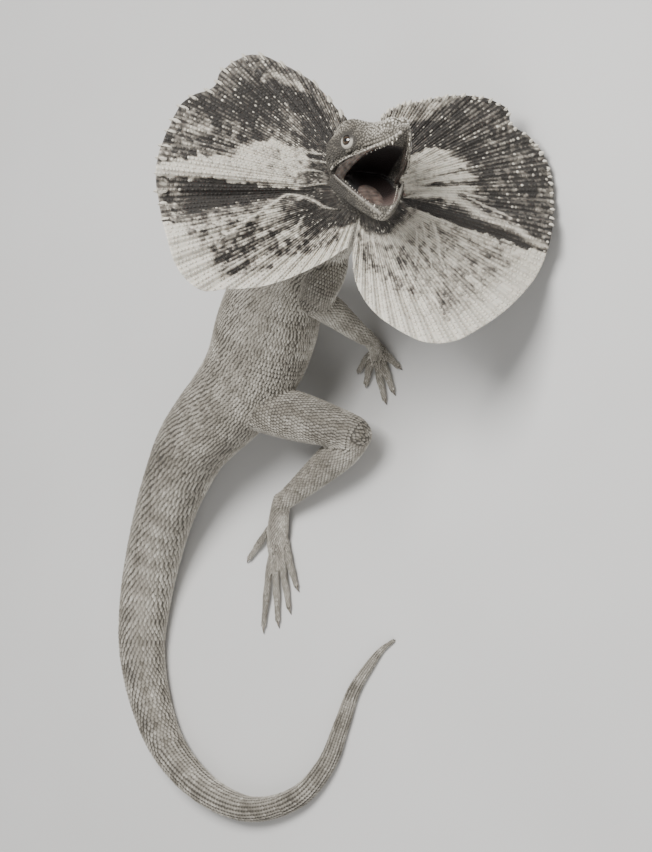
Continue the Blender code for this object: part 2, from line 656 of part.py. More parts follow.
def build():
    clear_scene()
    body = body_nodes()
    head_frame = turned_frame(HEAD_CENTRE, HEAD_AZIMUTH, HEAD_ELEVATION, HEAD_ROLL)
    head, eyes = head_nodes(head_frame)
    jaw = jaw_node(head_frame)
    room = place(skull("hinge_room"), head_frame)
    cut_away(jaw, [grown_copy(room, JAW_GAP)])
    bpy.data.objects.remove(room, do_unlink=True)
    cut_away(body["neck"], [grown_copy(head), grown_copy(jaw)])
    frill_frame = turned_frame(FRILL_CENTRE, FRILL_AZIMUTH, FRILL_ELEVATION, FRILL_ROLL)
    frills = [
        frill_half("frill_right", RIGHT_REACH, RIGHT_SLOPE, RIGHT_FOLDS, frill_frame),
        frill_half("frill_left", LEFT_REACH, LEFT_SLOPE, LEFT_FOLDS, frill_frame),
    ]
    for half in frills:
        cut_away(half, [grown_copy(body["neck"]), grown_copy(head), grown_copy(jaw)])
    limbs = {}
    for side in ("right", "left"):
        for upper, lower, paw in (("thigh", "shin", "foot"), ("upper_arm", "forearm", "hand")):
            first = limb_node(f"{upper}_{side}")
            cut_away(first, [grown_copy(body[name]) for name in ("torso", "tail_base", "neck")], "MANIFOLD")
            second = limb_node(f"{lower}_{side}")
            cut_away(second, [grown_copy(first), grown_copy(body["torso"])], "MANIFOLD")
            third = paw_node(f"{paw}_{side}")
            cut_away(third, [grown_copy(second)])
            limbs.update({first.name: first, second.name: second, third.name: third})
    nodes = [*body.values(), head, jaw, *eyes, *frills, *limbs.values()]
    for obj in nodes:
        colour(obj)
    settle(nodes)


build()
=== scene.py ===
import math
from itertools import product

import bmesh
import bpy
import numpy as np
from mathutils import Matrix, Vector
from mathutils.bvhtree import BVHTree
from mathutils.kdtree import KDTree


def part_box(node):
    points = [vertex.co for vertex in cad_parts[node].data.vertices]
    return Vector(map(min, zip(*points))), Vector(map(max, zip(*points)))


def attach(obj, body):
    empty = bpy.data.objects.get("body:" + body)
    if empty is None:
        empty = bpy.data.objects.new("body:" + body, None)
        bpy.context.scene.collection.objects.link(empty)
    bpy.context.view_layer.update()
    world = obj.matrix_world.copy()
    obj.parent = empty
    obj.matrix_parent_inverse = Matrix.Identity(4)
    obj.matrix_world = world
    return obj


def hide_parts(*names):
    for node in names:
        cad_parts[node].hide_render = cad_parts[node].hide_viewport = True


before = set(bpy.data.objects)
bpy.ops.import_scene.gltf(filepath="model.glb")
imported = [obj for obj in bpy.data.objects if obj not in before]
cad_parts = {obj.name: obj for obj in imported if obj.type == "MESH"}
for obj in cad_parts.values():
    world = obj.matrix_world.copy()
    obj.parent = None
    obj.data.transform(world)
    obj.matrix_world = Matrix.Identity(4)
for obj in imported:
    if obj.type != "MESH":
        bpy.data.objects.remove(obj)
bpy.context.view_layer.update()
print("frame loaded")

mm = 0.001
floorLevel = 0.25  # the skin stops this far above the floor, in mm
coatFloor = 0.05  # and the scales on it this far
chance = np.random.RandomState(7)


# Small tools for lines, rings and meshes, all in millimetres

def unit(vectors):
    vectors = np.asarray(vectors, float)
    return vectors / np.maximum(np.linalg.norm(vectors, axis=-1, keepdims=True), 1e-9)


def smoothRows(rows, steps):
    # a soft curve through every row, with steps of it from one row to the next
    table = np.array(rows, float)
    padded = np.vstack([2 * table[0] - table[1], table, 2 * table[-1] - table[-2]])
    places = np.linspace(0, len(table) - 1, (len(table) - 1) * steps + 1)
    first = np.minimum(places.astype(int), len(table) - 2)
    t = (places - first)[:, None]
    a, b, c, d = (padded[first + k] for k in range(4))
    return 0.5 * (2 * b + (c - a) * t + (2 * a - 5 * b + 4 * c - d) * t**2 + (3 * b - a - 3 * c + d) * t**3)


def alongOf(points):
    steps = np.linalg.norm(np.diff(points, axis=0), axis=1)
    return np.concatenate([[0], np.cumsum(steps)])


def blend(x, low, high):
    t = np.clip((np.asarray(x, float) - low) / (high - low), 0, 1)
    return t * t * (3 - 2 * t)


def softNoise(points, size, seed=0):
    # smooth noise from -1 to 1, about one bump in each size
    q = np.asarray(points, float) / size + seed * 17.31
    base = np.floor(q).astype(np.int64)
    f = q - base
    f = f * f * (3 - 2 * f)
    total = np.zeros(len(q))
    for corner in range(8):
        bits = np.array([(corner >> k) & 1 for k in range(3)])
        n = ((base + bits) * np.array([73856093, 19349663, 83492791])).sum(axis=1)
        n = (n ^ (n >> 13)) * 1274126177 & 0x7FFFFFFF
        n = (n ^ (n >> 15)) * 668265263 & 0x7FFFFFFF
        total += np.where(bits, f, 1 - f).prod(axis=1) * (n / 0x3FFFFFFF - 1)
    return total


def turnedAxes(azimuth, elevation, roll):
    turn = (Matrix.Rotation(math.radians(azimuth), 3, "Z") @ Matrix.Rotation(-math.radians(elevation), 3, "Y")
            @ Matrix.Rotation(-math.radians(roll), 3, "X"))
    return np.array(turn)


def sphereMesh(centre, size, sides=24, rings=14):
    lean = np.linspace(0, math.pi, rings + 1)[1:-1]
    turn = np.linspace(0, 2 * math.pi, sides, endpoint=False)
    ringPoints = np.stack([np.outer(np.sin(lean), np.cos(turn)), np.outer(np.sin(lean), np.sin(turn)),
                           np.outer(np.cos(lean), np.ones(sides))], axis=-1)
    points = np.vstack([[0, 0, 1], ringPoints.reshape(-1, 3), [0, 0, -1]]) * size + centre
    last = len(points) - 1
    faces = [[0, 1 + i, 1 + (i + 1) % sides] for i in range(sides)]
    for j in range(rings - 2):
        for i in range(sides):
            a, b = 1 + j * sides + i, 1 + j * sides + (i + 1) % sides
            faces.append([a, a + sides, b + sides, b])
    base = last - sides
    faces += [[base + i, last, base + (i + 1) % sides] for i in range(sides)]
    return points, faces


def tubeMesh(rings):
    # a closed tube through rings of equal count
    rings = np.asarray(rings)
    count, sides = rings.shape[:2]
    faces = [list(range(sides))[::-1], list(range((count - 1) * sides, count * sides))]
    for j in range(count - 1):
        for i in range(sides):
            k = (i + 1) % sides
            faces.append([j * sides + i, j * sides + k, (j + 1) * sides + k, (j + 1) * sides + i])
    return rings.reshape(-1, 3), faces


def torusMesh(centre, axis, radius, thickness, squash=1.0, sides=36, around=12):
    axis = unit(axis)
    left = unit(np.cross((0, 0, 1.0), axis))
    up = np.cross(axis, left)
    rings = []
    rounds = np.linspace(0, 2 * math.pi, around, endpoint=False)
    for turn in np.linspace(0, 2 * math.pi, sides, endpoint=False):
        out = math.cos(turn) * left + math.sin(turn) * squash * up
        rings.append(centre + out * radius + np.outer(np.cos(rounds), out) * thickness
                     + np.outer(np.sin(rounds), axis) * thickness)
    points = np.array(rings).reshape(-1, 3)
    faces = []
    for i in range(sides):
        for j in range(around):
            k, m = (i + 1) % sides, (j + 1) % around
            faces.append([i * around + j, i * around + m, k * around + m, k * around + j])
    return points, faces


def merged(meshes):
    points, faces, start = [], [], 0
    for onePoints, oneFaces in meshes:
        points.append(onePoints)
        faces += [[start + k for k in face] for face in oneFaces]
        start += len(onePoints)
    return np.vstack(points), faces


def makeObject(name, points, faces, material=None):
    # points are in the lizard's own millimetres
    mesh = bpy.data.meshes.new(name)
    mesh.from_pydata((np.asarray(points) * mm + shift).tolist(), [], faces)
    obj = bpy.data.objects.new(name, mesh)
    bpy.context.scene.collection.objects.link(obj)
    mesh.shade_smooth()
    if material:
        mesh.materials.append(material)
    return obj


def gridBorder(rows, cols):
    # the points round the edge of a grid, in order
    border = [i * cols for i in range(rows)] + [(rows - 1) * cols + j for j in range(1, cols)]
    return border + [i * cols + cols - 1 for i in range(rows - 2, -1, -1)] + list(range(cols - 2, 0, -1))


def quickObject(name, points, corners, material, smooth):
    # a mesh of triangles straight from arrays
    mesh = bpy.data.meshes.new(name)
    mesh.vertices.add(len(points))
    mesh.vertices.foreach_set("co", (points * mm + shift).astype(np.float32).ravel())
    mesh.loops.add(corners.size)
    mesh.loops.foreach_set("vertex_index", corners.astype(np.int32).ravel())
    mesh.polygons.add(len(corners))
    mesh.polygons.foreach_set("loop_start", np.arange(0, corners.size, 3, dtype=np.int32))
    mesh.update(calc_edges=True)
    if smooth:
        mesh.shade_smooth()
    else:
        mesh.shade_flat()
    mesh.materials.append(material)
    obj = bpy.data.objects.new(name, mesh)
    bpy.context.scene.collection.objects.link(obj)
    return obj


def faceOut(obj):
    # turns every face outwards
    mesh = obj.data
    shape = bmesh.new()
    shape.from_mesh(mesh)
    bmesh.ops.recalc_face_normals(shape, faces=shape.faces)
    shape.to_mesh(mesh)
    shape.free()


def settle(obj):
    # applies the modifiers
    graph = bpy.context.evaluated_depsgraph_get()
    mesh = bpy.data.meshes.new_from_object(obj.evaluated_get(graph))
    obj.modifiers.clear()
    old = obj.data
    obj.data = mesh
    bpy.data.meshes.remove(old)


def fuse(obj, pieces, operation="UNION"):
    for piece in pieces:
        faceOut(piece)
        step = obj.modifiers.new("fuse", "BOOLEAN")
        step.operation = operation
        step.object = piece
        step.solver = "MANIFOLD"
        settle(obj)
        bpy.data.objects.remove(piece, do_unlink=True)


def pointsOf(obj):
    co = np.empty(len(obj.data.vertices) * 3, np.float32)
    obj.data.vertices.foreach_get("co", co)
    return (co.reshape(-1, 3).astype(float) - shift) / mm


def normalsOf(obj):
    no = np.empty(len(obj.data.vertices) * 3, np.float32)
    obj.data.vertices.foreach_get("normal", no)
    return no.reshape(-1, 3).astype(float)


def setPoints(obj, points):
    obj.data.vertices.foreach_set("co", (points * mm + shift).astype(np.float32).ravel())
    obj.data.update()


def paint(obj, name, values):
    # a number at every point, for the materials to read
    layer = obj.data.attributes.new(name, "FLOAT", "POINT")
    layer.data.foreach_set("value", np.asarray(values, np.float32))


# Where the lizard stands: its head's own frame, and the frame it was measured in

headSettings = {
    "centre": (162, -37.5, 98.2), "azimuth": -48.5, "elevation": 31.3, "roll": 90.0,
    "eye": (19.0, 13.4, 4.0), "eyeRadius": 4.35, "zone": (17, 0, -5), "zoneReach": 40,
}
headAxes = turnedAxes(headSettings["azimuth"], headSettings["elevation"], headSettings["roll"])
headCentre = np.array(headSettings["centre"], float)


def inHead(points):
    # from the head's forward, left and up to the lizard's millimetres
    return np.asarray(points, float) @ headAxes.T + headCentre


def headOf(points):
    return (np.asarray(points, float) - headCentre) @ headAxes


def inHeadZone(points):
    return np.linalg.norm(headOf(points) - headSettings["zone"], axis=1) < headSettings["zoneReach"]


def mirrored(points, side):
    return [(p[0], p[1] * side, *p[2:]) for p in points]


rightEye = np.array(mirrored([headSettings["eye"]], -1)[0])
eyeLow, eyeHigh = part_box("eye_right")
shift = np.array((eyeLow + eyeHigh) / 2) - inHead(rightEye) * mm

jawSettings = {"hinge": (1.5, 0, -7.8), "drop": 40.8, "turn": 6.5}
jawTurn = np.array(Matrix.Rotation(math.radians(jawSettings["drop"]), 3, "Y")
                   @ Matrix.Rotation(-math.radians(jawSettings["turn"]), 3, "Z"))


def jawToHead(points):
    return np.asarray(points, float) @ jawTurn.T + np.array(jawSettings["hinge"], float)


def inJaw(points):
    # from the jaw's own frame to the lizard's millimetres
    return inHead(jawToHead(points))


def headToJaw(points):
    return (np.asarray(points, float) - np.array(jawSettings["hinge"], float)) @ jawTurn


# The camera comes first: it looks down on the lizard's right side, as the picture does

view = {"elevation": 50.0, "roll": 10.0, "azimuth": 25.0, "distance": 1200.0, "perPixel": 0.55,
        "aim": (10.95, -22.75, 0.0), "height": 852, "sensor": 36.0}


def addCamera():
    e, roll, a = (math.radians(view[k]) for k in ("elevation", "roll", "azimuth"))
    ahead = Vector((math.cos(a), math.sin(a), 0))
    across = Vector((-math.sin(a), math.cos(a), 0))
    upward = Vector((0, 0, 1))
    back = upward * math.sin(e) - across * math.cos(e)
    down = -across * math.sin(e) - upward * math.cos(e)
    right = ahead * math.sin(roll) + down * math.cos(roll)
    up = ahead * math.cos(roll) - down * math.sin(roll)
    data = bpy.data.cameras.new("camera")
    data.sensor_fit, data.sensor_height = "VERTICAL", view["sensor"]
    data.lens = view["sensor"] * view["distance"] / (view["height"] * view["perPixel"])
    data.clip_start = 0.01
    camera = bpy.data.objects.new("camera", data)
    bpy.context.scene.collection.objects.link(camera)
    place = Matrix((right, up, back)).transposed().to_4x4()
    place.translation = (Vector(view["aim"]) + back * view["distance"]) * mm + Vector(shift)
    camera.matrix_world = place
    bpy.context.scene.camera = camera


addCamera()
print("camera set")


# Materials, each with its grain and its own colours

def newMaterial(name, roughness, specular=0.5, sheen=0.0, coat=0.0):
    material = bpy.data.materials.new(name)
    material.use_nodes = True
    shader = material.node_tree.nodes["Principled BSDF"]
    shader.inputs["Roughness"].default_value = roughness
    shader.inputs["Specular IOR Level"].default_value = specular
    shader.inputs["Sheen Weight"].default_value = sheen
    shader.inputs["Coat Weight"].default_value = coat
    return material, material.node_tree, shader


def addTexture(tree, kind, scale):
    place = tree.nodes.new("ShaderNodeTexCoord")
    texture = tree.nodes.new(kind)
    texture.inputs["Scale"].default_value = scale
    tree.links.new(place.outputs["Object"], texture.inputs["Vector"])
    return texture


def addNoise(tree, scale, detail):
    noise = addTexture(tree, "ShaderNodeTexNoise", scale)
    noise.inputs["Detail"].default_value = detail
    return noise.outputs["Fac"]


def addRamp(tree, source, stops):
    ramp = tree.nodes.new("ShaderNodeValToRGB")
    elements = ramp.color_ramp.elements
    for k in (0, -1):
        elements[k].position = stops[k][0]
        elements[k].color = (*stops[k][1], 1)
    for at, colour in stops[1:-1]:
        elements.new(at).color = (*colour, 1)
    tree.links.new(source, ramp.inputs["Fac"])
    return ramp.outputs["Color"]


def addMath(tree, operation, *values):
    step = tree.nodes.new("ShaderNodeMath")
    step.operation = operation
    for socket, value in zip(step.inputs, values):
        if isinstance(value, float):
            socket.default_value = value
        else:
            tree.links.new(value, socket)
    return step.outputs[0]


def addGrain(tree, value, grain, strength):
    # a value made uneven by the grain, as far up as down
    centred = addMath(tree, "SUBTRACT", grain, 0.5)
    return addMath(tree, "ADD", value, addMath(tree, "MULTIPLY", centred, strength))


def addMix(tree, share, a, b):
    mix = tree.nodes.new("ShaderNodeMix")
    mix.data_type = "RGBA"
    for socket, value in ((mix.inputs[0], share), (mix.inputs[6], a), (mix.inputs[7], b)):
        if isinstance(value, tuple):
            socket.default_value = (*value, 1)
        else:
            tree.links.new(value, socket)
    return mix.outputs[2]


def addBump(tree, shader, height, strength, distance):
    bump = tree.nodes.new("ShaderNodeBump")
    bump.inputs["Strength"].default_value = strength
    bump.inputs["Distance"].default_value = distance
    tree.links.new(height, bump.inputs["Height"])
    tree.links.new(bump.outputs["Normal"], shader.inputs["Normal"])


def addDepth(shader, weight, radius, scale):
    # light that goes a little way into the flesh
    shader.inputs["Subsurface Weight"].default_value = weight
    shader.inputs["Subsurface Radius"].default_value = radius
    shader.inputs["Subsurface Scale"].default_value = scale


def readPaint(tree, name):
    reader = tree.nodes.new("ShaderNodeAttribute")
    reader.attribute_name = name
    return reader.outputs["Fac"]


def grey(level):
    return (level,) * 3


# gap is the darkest colour, used as painted shade between and round the scales
skinColours = {"gap": (0.045, 0.040, 0.033), "dark": (0.14, 0.125, 0.10), "mid": (0.32, 0.295, 0.25),
               # the colour deep in the mouth is painted shade
               "pale": (0.60, 0.57, 0.50), "lining": (0.115, 0.078, 0.066), "mouthShade": (0.010, 0.006, 0.005),
               "lip": (0.50, 0.465, 0.40)}
frillColours = {"cream": (0.66, 0.62, 0.53), "buff": (0.44, 0.405, 0.34), "slate": (0.17, 0.152, 0.128),
                "charcoal": (0.034, 0.030, 0.026)}
fleshColours = {"cheek": (0.085, 0.070, 0.060), "cheekDark": (0.035, 0.029, 0.025),
                "tongue": (0.18, 0.135, 0.112), "tongueDark": (0.07, 0.052, 0.044)}
hornColours = {"toothRoot": (0.62, 0.54, 0.40), "toothTip": (0.82, 0.78, 0.68),
               "clawRoot": (0.30, 0.26, 0.21), "clawTip": (0.05, 0.042, 0.035)}
eyeColours = {"pupil": (0.003, 0.003, 0.003), "iris": (0.060, 0.034, 0.016),
              "irisDark": (0.030, 0.018, 0.010), "rim": (0.012, 0.009, 0.008), "white": (0.010, 0.009, 0.009)}


def skinMaterial():
    material, tree, shader = newMaterial("skin", roughness=0.62, specular=0.35, sheen=0.08)
    grain = addNoise(tree, scale=900, detail=5)
    tone = addMath(tree, "ADD", readPaint(tree, "tone"), addMath(tree, "MULTIPLY", grain, 0.22))
    colour = addRamp(tree, tone, [(0.15, skinColours["gap"]), (0.7, skinColours["dark"]),
                                  (1.0, skinColours["mid"])])
    lip = addMix(tree, readPaint(tree, "lip"), colour, skinColours["lip"])
    wet = readPaint(tree, "lining")
    # painted shade: the lining darkens deeper in the mouth
    depth = addRamp(tree, readPaint(tree, "mouthShade"),
                    [(0.0, skinColours["lining"]), (0.85, skinColours["mouthShade"])])
    tree.links.new(addMix(tree, wet, lip, depth), shader.inputs["Base Color"])
    tree.links.new(addRamp(tree, wet, [(0.0, grey(0.66)), (1.0, grey(0.30))]), shader.inputs["Roughness"])
    pebble = addTexture(tree, "ShaderNodeTexVoronoi", scale=1100)
    addBump(tree, shader, pebble.outputs["Distance"], strength=0.5, distance=0.0002)
    return material


def scaleMaterial(name, stops, roughness):
    material, tree, shader = newMaterial(name, roughness, specular=0.4, sheen=0.05)
    grain = addNoise(tree, scale=1500, detail=3)
    tone = addGrain(tree, readPaint(tree, "tone"), grain, 0.25)
    tree.links.new(addRamp(tree, tone, stops), shader.inputs["Base Color"])
    rough = addRamp(tree, grain, [(0.3, grey(roughness - 0.1)), (0.7, grey(roughness + 0.12))])
    tree.links.new(rough, shader.inputs["Roughness"])
    addBump(tree, shader, grain, strength=0.35, distance=0.0001)
    return material


def frillMaterial():
    material, tree, shader = newMaterial("frillSkin", roughness=0.6, specular=0.35, sheen=0.1)
    grain = addNoise(tree, scale=700, detail=6)
    dark = addGrain(tree, readPaint(tree, "dark"), grain, 0.40)
    colour = addRamp(tree, dark, [(0.06, frillColours["cream"]), (0.36, frillColours["buff"]),
                                  (0.60, frillColours["slate"]), (0.86, frillColours["charcoal"])])
    tree.links.new(colour, shader.inputs["Base Color"])
    addDepth(shader, weight=0.08, radius=(0.004, 0.002, 0.0012), scale=0.5)
    addBump(tree, shader, grain, strength=0.5, distance=0.0002)
    return material


def fleshMaterial(name, colour, darker, roughness, shine):
    material, tree, shader = newMaterial(name, roughness, shine, coat=0.3 * shine)
    shader.inputs["Coat Roughness"].default_value = 0.25
    addDepth(shader, weight=0.15, radius=(0.003, 0.001, 0.0006), scale=0.6)
    blotch = addNoise(tree, scale=320, detail=6)
    tree.links.new(addRamp(tree, blotch, [(0.35, darker), (0.62, colour)]), shader.inputs["Base Color"])
    addBump(tree, shader, addNoise(tree, scale=1800, detail=2), strength=0.5, distance=0.00025)
    return material


def hornMaterial(name, root, tip, roughness):
    material, tree, shader = newMaterial(name, roughness)
    streak = addNoise(tree, scale=900, detail=3)
    tone = addGrain(tree, readPaint(tree, "along"), streak, 0.3)
    tree.links.new(addRamp(tree, tone, [(0.1, root), (0.9, tip)]), shader.inputs["Base Color"])
    addBump(tree, shader, streak, strength=0.2, distance=0.0001)
    return material


def eyeMaterial():
    # rings round the pupil, out to 5 mm from the eye's own axis
    material, tree, shader = newMaterial("eye", roughness=0.08, specular=0.6, coat=1.0)
    shader.inputs["Coat Roughness"].default_value = 0.03
    place = tree.nodes.new("ShaderNodeTexCoord")
    split = tree.nodes.new("ShaderNodeSeparateXYZ")
    tree.links.new(place.outputs["Object"], split.inputs["Vector"])
    x, y = (addMath(tree, "POWER", split.outputs[k], 2.0) for k in (0, 1))
    far = addMath(tree, "SQRT", addMath(tree, "ADD", x, y))
    away = addGrain(tree, far, addNoise(tree, scale=1400, detail=4), 0.0004)
    rings = ((0.0, "pupil"), (0.19, "pupil"), (0.22, "iris"), (0.36, "irisDark"), (0.46, "rim"),
             (1.0, "white"))
    colour = addRamp(tree, addMath(tree, "DIVIDE", away, 0.005),
                     [(at, eyeColours[ring]) for at, ring in rings])
    tree.links.new(colour, shader.inputs["Base Color"])
    return material


def floorMaterial():
    material, tree, shader = newMaterial("floor", roughness=0.85, specular=0.2)
    tone = addRamp(tree, addNoise(tree, scale=6, detail=3),
                   [(0.3, (0.60, 0.59, 0.57)), (0.7, (0.64, 0.63, 0.61))])
    tree.links.new(tone, shader.inputs["Base Color"])
    return material


materials = {
    "skin": skinMaterial(),
    "scale": scaleMaterial("scaleHorn", [(0.0, skinColours["gap"]), (0.35, skinColours["dark"]),
                                         (0.7, skinColours["mid"]), (1.0, skinColours["pale"])], 0.52),
    "frill": frillMaterial(),
    "frillScale": scaleMaterial("frillScaleHorn", [(0.14, frillColours["charcoal"]),
                                                   (0.42, frillColours["slate"]),
                                                   (0.66, frillColours["buff"]),
                                                   (0.94, frillColours["cream"])], 0.55),
    "cheek": fleshMaterial("cheekSkin", fleshColours["cheek"], fleshColours["cheekDark"], 0.8, 0.1),
    "tongue": fleshMaterial("tongueFlesh", fleshColours["tongue"], fleshColours["tongueDark"], 0.6, 0.35),
    "tooth": hornMaterial("toothEnamel", hornColours["toothRoot"], hornColours["toothTip"], 0.25),
    "claw": hornMaterial("clawHorn", hornColours["clawRoot"], hornColours["clawTip"], 0.35),
    "eye": eyeMaterial(),
    "floor": floorMaterial(),
}
print("materials mixed")


# The lizard's lines: centre x, y, z, half width, half height, roll to its left in degrees

bodyLine = (
    (-54, -133, 1.1, 1.1, 1.2, 0), (-62, -130, 1.7, 1.8, 1.8, 0), (-72, -129, 2.3, 2.5, 2.5, 0),
    (-90, -129, 3.1, 3.4, 3.4, 0), (-109, -134, 3.9, 4.2, 4.2, 0), (-132, -139, 4.7, 5.0, 5.0, 0),
    (-158, -134, 5.4, 5.8, 5.8, 0), (-183, -113, 6.3, 6.9, 6.8, 0), (-195, -81, 7.5, 8.2, 8.0, 0),
    (-194, -47, 8.9, 9.7, 9.4, 0), (-181, -19, 10.3, 11.2, 10.8, 0), (-161, 4, 11.8, 12.7, 12.2, 0),
    (-136, 18, 13.9, 14.2, 13.6, 0), (-110, 25, 18.5, 15.2, 14.6, 0), (-82, 27, 26, 16.4, 15.8, 0),
    (-59, 26, 32, 17.8, 17.4, 1), (-37, 23, 37.5, 19.6, 19.2, 2), (-19, 17, 41, 21.5, 20.6, 3),
    (-2, 11, 43, 23.6, 21.4, 5), (15, 7, 44.5, 25.4, 22.6, 7), (31, 6, 46, 27.6, 24.4, 9),
    (46, 8, 48, 28.8, 25.2, 12), (60, 10, 50, 28.2, 24.8, 15), (74, 11, 52, 26.0, 23.8, 19),
    (88, 8, 54.5, 23.6, 22.6, 24), (102, 1, 59, 20.8, 21.0, 32), (118, -10, 67, 17.4, 18.2, 44),
    (133, -22, 78, 15.4, 16.0, 60), (144, -32, 88, 14.6, 15.0, 76),
)
limbLines = {
    "thigh_right": ((4, 4, 44, 12), (12, -16, 41, 13.6), (19, -36, 34, 12.6), (26, -56, 25, 9.6),
                    (27, -61, 23.5, 8.6)),
    "shin_right": ((27, -61, 23, 8.4), (12, -55, 20, 9.4), (-10, -44, 15.5, 7.6), (-29, -34, 11.5, 5.6),
                   (-36, -30, 10.5, 5.2)),
    "upper_arm_right": ((108, -8, 56, 9), (100, -16, 58, 10), (89, -20, 59.5, 9.6), (79, -20, 59, 8.0)),
    "forearm_right": ((79, -20, 58, 7.8), (78, -23, 48, 8.0), (73, -25, 30, 6.2), (68.5, -26.5, 14, 4.6)),
    "thigh_left": ((2, 16, 44, 12), (14, 28, 37, 13), (27, 40, 27, 11.6), (38, 49, 19, 9.2),
                   (41, 51, 17.5, 8.2)),
    "shin_left": ((41, 51, 17, 8.0), (24, 51, 16, 9.0), (2, 47, 14, 7.4), (-20, 42.5, 11.5, 5.6),
                  (-27, 41, 10.5, 5.2)),
    "upper_arm_left": ((101, 8, 54, 9), (98, 22, 52, 9.8), (90, 36, 46, 9.0), (84, 43, 41, 7.8)),
    "forearm_left": ((84, 43, 40.5, 7.6), (90, 46, 33, 7.8), (99, 50, 21, 6.0), (105, 52, 12, 4.6)),
}
# Palm rows of x, y, z, half width, half height, then each toe's knuckle and tip
pawLines = {
    "hand_right": (
        ((69.5, -26, 14, 4.2, 4.2), (67, -28, 8, 5.2, 4.0), (64, -31, 4.6, 6.6, 3.6),
         (60, -34, 3.6, 5.4, 3.0)),
        (((61, -28, 3.4), (47, -25, 1.2)), ((58, -31, 3.6), (44, -34, 1.2)), ((59, -35, 3.6), (44, -51, 1.2)),
         ((62, -37, 3.6), (51, -53, 1.2)), ((66, -35, 3.4), (64, -48, 1.2)))),
    "hand_left": (
        ((104, 52, 13, 4.2, 4.2), (108, 53, 8, 5.2, 4.0), (113, 54, 4.6, 6.6, 3.6), (117, 55, 3.6, 5.4, 3.0)),
        (((112, 49, 3.4), (120, 37, 1.2)), ((117, 51, 3.6), (133, 42, 1.2)), ((119, 55, 3.6), (142, 55, 1.2)),
         ((118, 58, 3.6), (135, 68, 1.2)), ((113, 59, 3.4), (119, 73, 1.2)))),
    "foot_right": (
        ((-35, -30.5, 11.5, 5.0, 5.0), (-43, -31, 8, 5.8, 4.8), (-52, -34, 5.6, 7.0, 4.2),
         (-61, -38, 4.2, 6.2, 3.4)),
        (((-47, -29, 4.2), (-80, -23, 1.3)), ((-61, -35.5, 4.2), (-104, -57, 1.3)),
         ((-62, -39, 4.0), (-95, -64, 1.3)), ((-60, -42, 3.8), (-84, -66, 1.3)),
         ((-56, -43, 3.6), (-71, -63, 1.3)))),
    "foot_left": (
        ((-26, 41, 11.5, 5.0, 5.0), (-34, 41, 8, 5.8, 4.8), (-43, 43, 5.6, 7.0, 4.2),
         (-52, 46, 4.2, 6.2, 3.4)),
        (((-38, 39, 4.2), (-71, 34, 1.3)), ((-52, 44, 4.2), (-96, 59, 1.3)), ((-53, 47, 4.0), (-88, 68, 1.3)),
         ((-51, 50, 3.8), (-77, 72, 1.3)), ((-47, 51, 3.6), (-63, 70, 1.3)))),
}
toeSettings = {"radius": 2.1, "arch": ((0.35, 1.2), (0.7, 0.9), (0.92, 0.7)), "taper": (1.0, 0.92, 0.78, 0.6),
               "root": 3.0, "swell": {"wide": 0.09, "high": 0.06}, "claw": 3.6, "clawShare": 0.4,
               "clawSunk": 0.4, "clawFloor": 0.3, "clawRadius": 0.8, "clawBend": 0.5}
coatDepth = {"tail": 0.45, "trunk": 0.35, "limb": 0.3, "toe": 0.1, "head": 0.25}
lineSteps = {"body": 12, "limb": 8, "palm": 6, "toe": 8}  # samples from one row of a line to the next


def makeTrack(name, rows, steps, toTip, coat, power=2.0):
    # a line with its directions, for the skin's sections and the coat's rows
    table = smoothRows(rows, steps)
    if table.shape[1] == 4:
        table = np.column_stack([table, table[:, 3], np.zeros(len(table))])
    elif table.shape[1] == 5:
        table = np.column_stack([table, np.zeros(len(table))])
    centres = table[:, :3]
    ways = unit(np.gradient(centres, axis=0))
    steep = abs(ways[:, 2]).max() > 0.9
    lefts = unit(np.cross((1.0, 0, 0) if steep else (0, 0, 1.0), ways))
    ups = np.cross(ways, lefts)
    roll = np.radians(table[:, 5])[:, None]
    lefts, ups = np.cos(roll) * lefts - np.sin(roll) * ups, np.cos(roll) * ups + np.sin(roll) * lefts
    return {"name": name, "centres": centres, "ways": ways, "lefts": lefts, "ups": ups, "wide": table[:, 3],
            "high": table[:, 4], "along": alongOf(centres), "toTip": toTip, "coat": coat, "power": power}


def sectionPoints(track, index, turns, inset=0.0):
    # points of the sections at the given turns, 0 at the left and a quarter turn at the top
    c, s = np.cos(turns), np.sin(turns)
    x = np.sign(c) * np.abs(c) ** (2 / track["power"]) * (track["wide"][index] - inset)
    y = np.sign(s) * np.abs(s) ** (2 / track["power"]) * (track["high"][index] - inset)
    return track["centres"][index] + track["lefts"][index] * x[..., None] + track["ups"][index] * y[..., None]


def trackRings(track, sides, inset, domes=((0.9, 0.44), (0.7, 0.71), (0.4, 0.92))):
    turns = np.linspace(0, 2 * math.pi, sides, endpoint=False)
    rings = [sectionPoints(track, i, turns, min(inset, 0.3 * track["wide"][i]))
             for i in range(len(track["wide"]))]
    for first in (True, False):
        end = 0 if first else -1
        way = -track["ways"][0] if first else track["ways"][-1]
        base = rings[end]
        for share, out in domes:
            middle = track["centres"][end]
            cap = middle + (base - middle) * share + way * track["wide"][end] * out * 0.9
            rings = [cap] + rings if first else rings + [cap]
    return rings


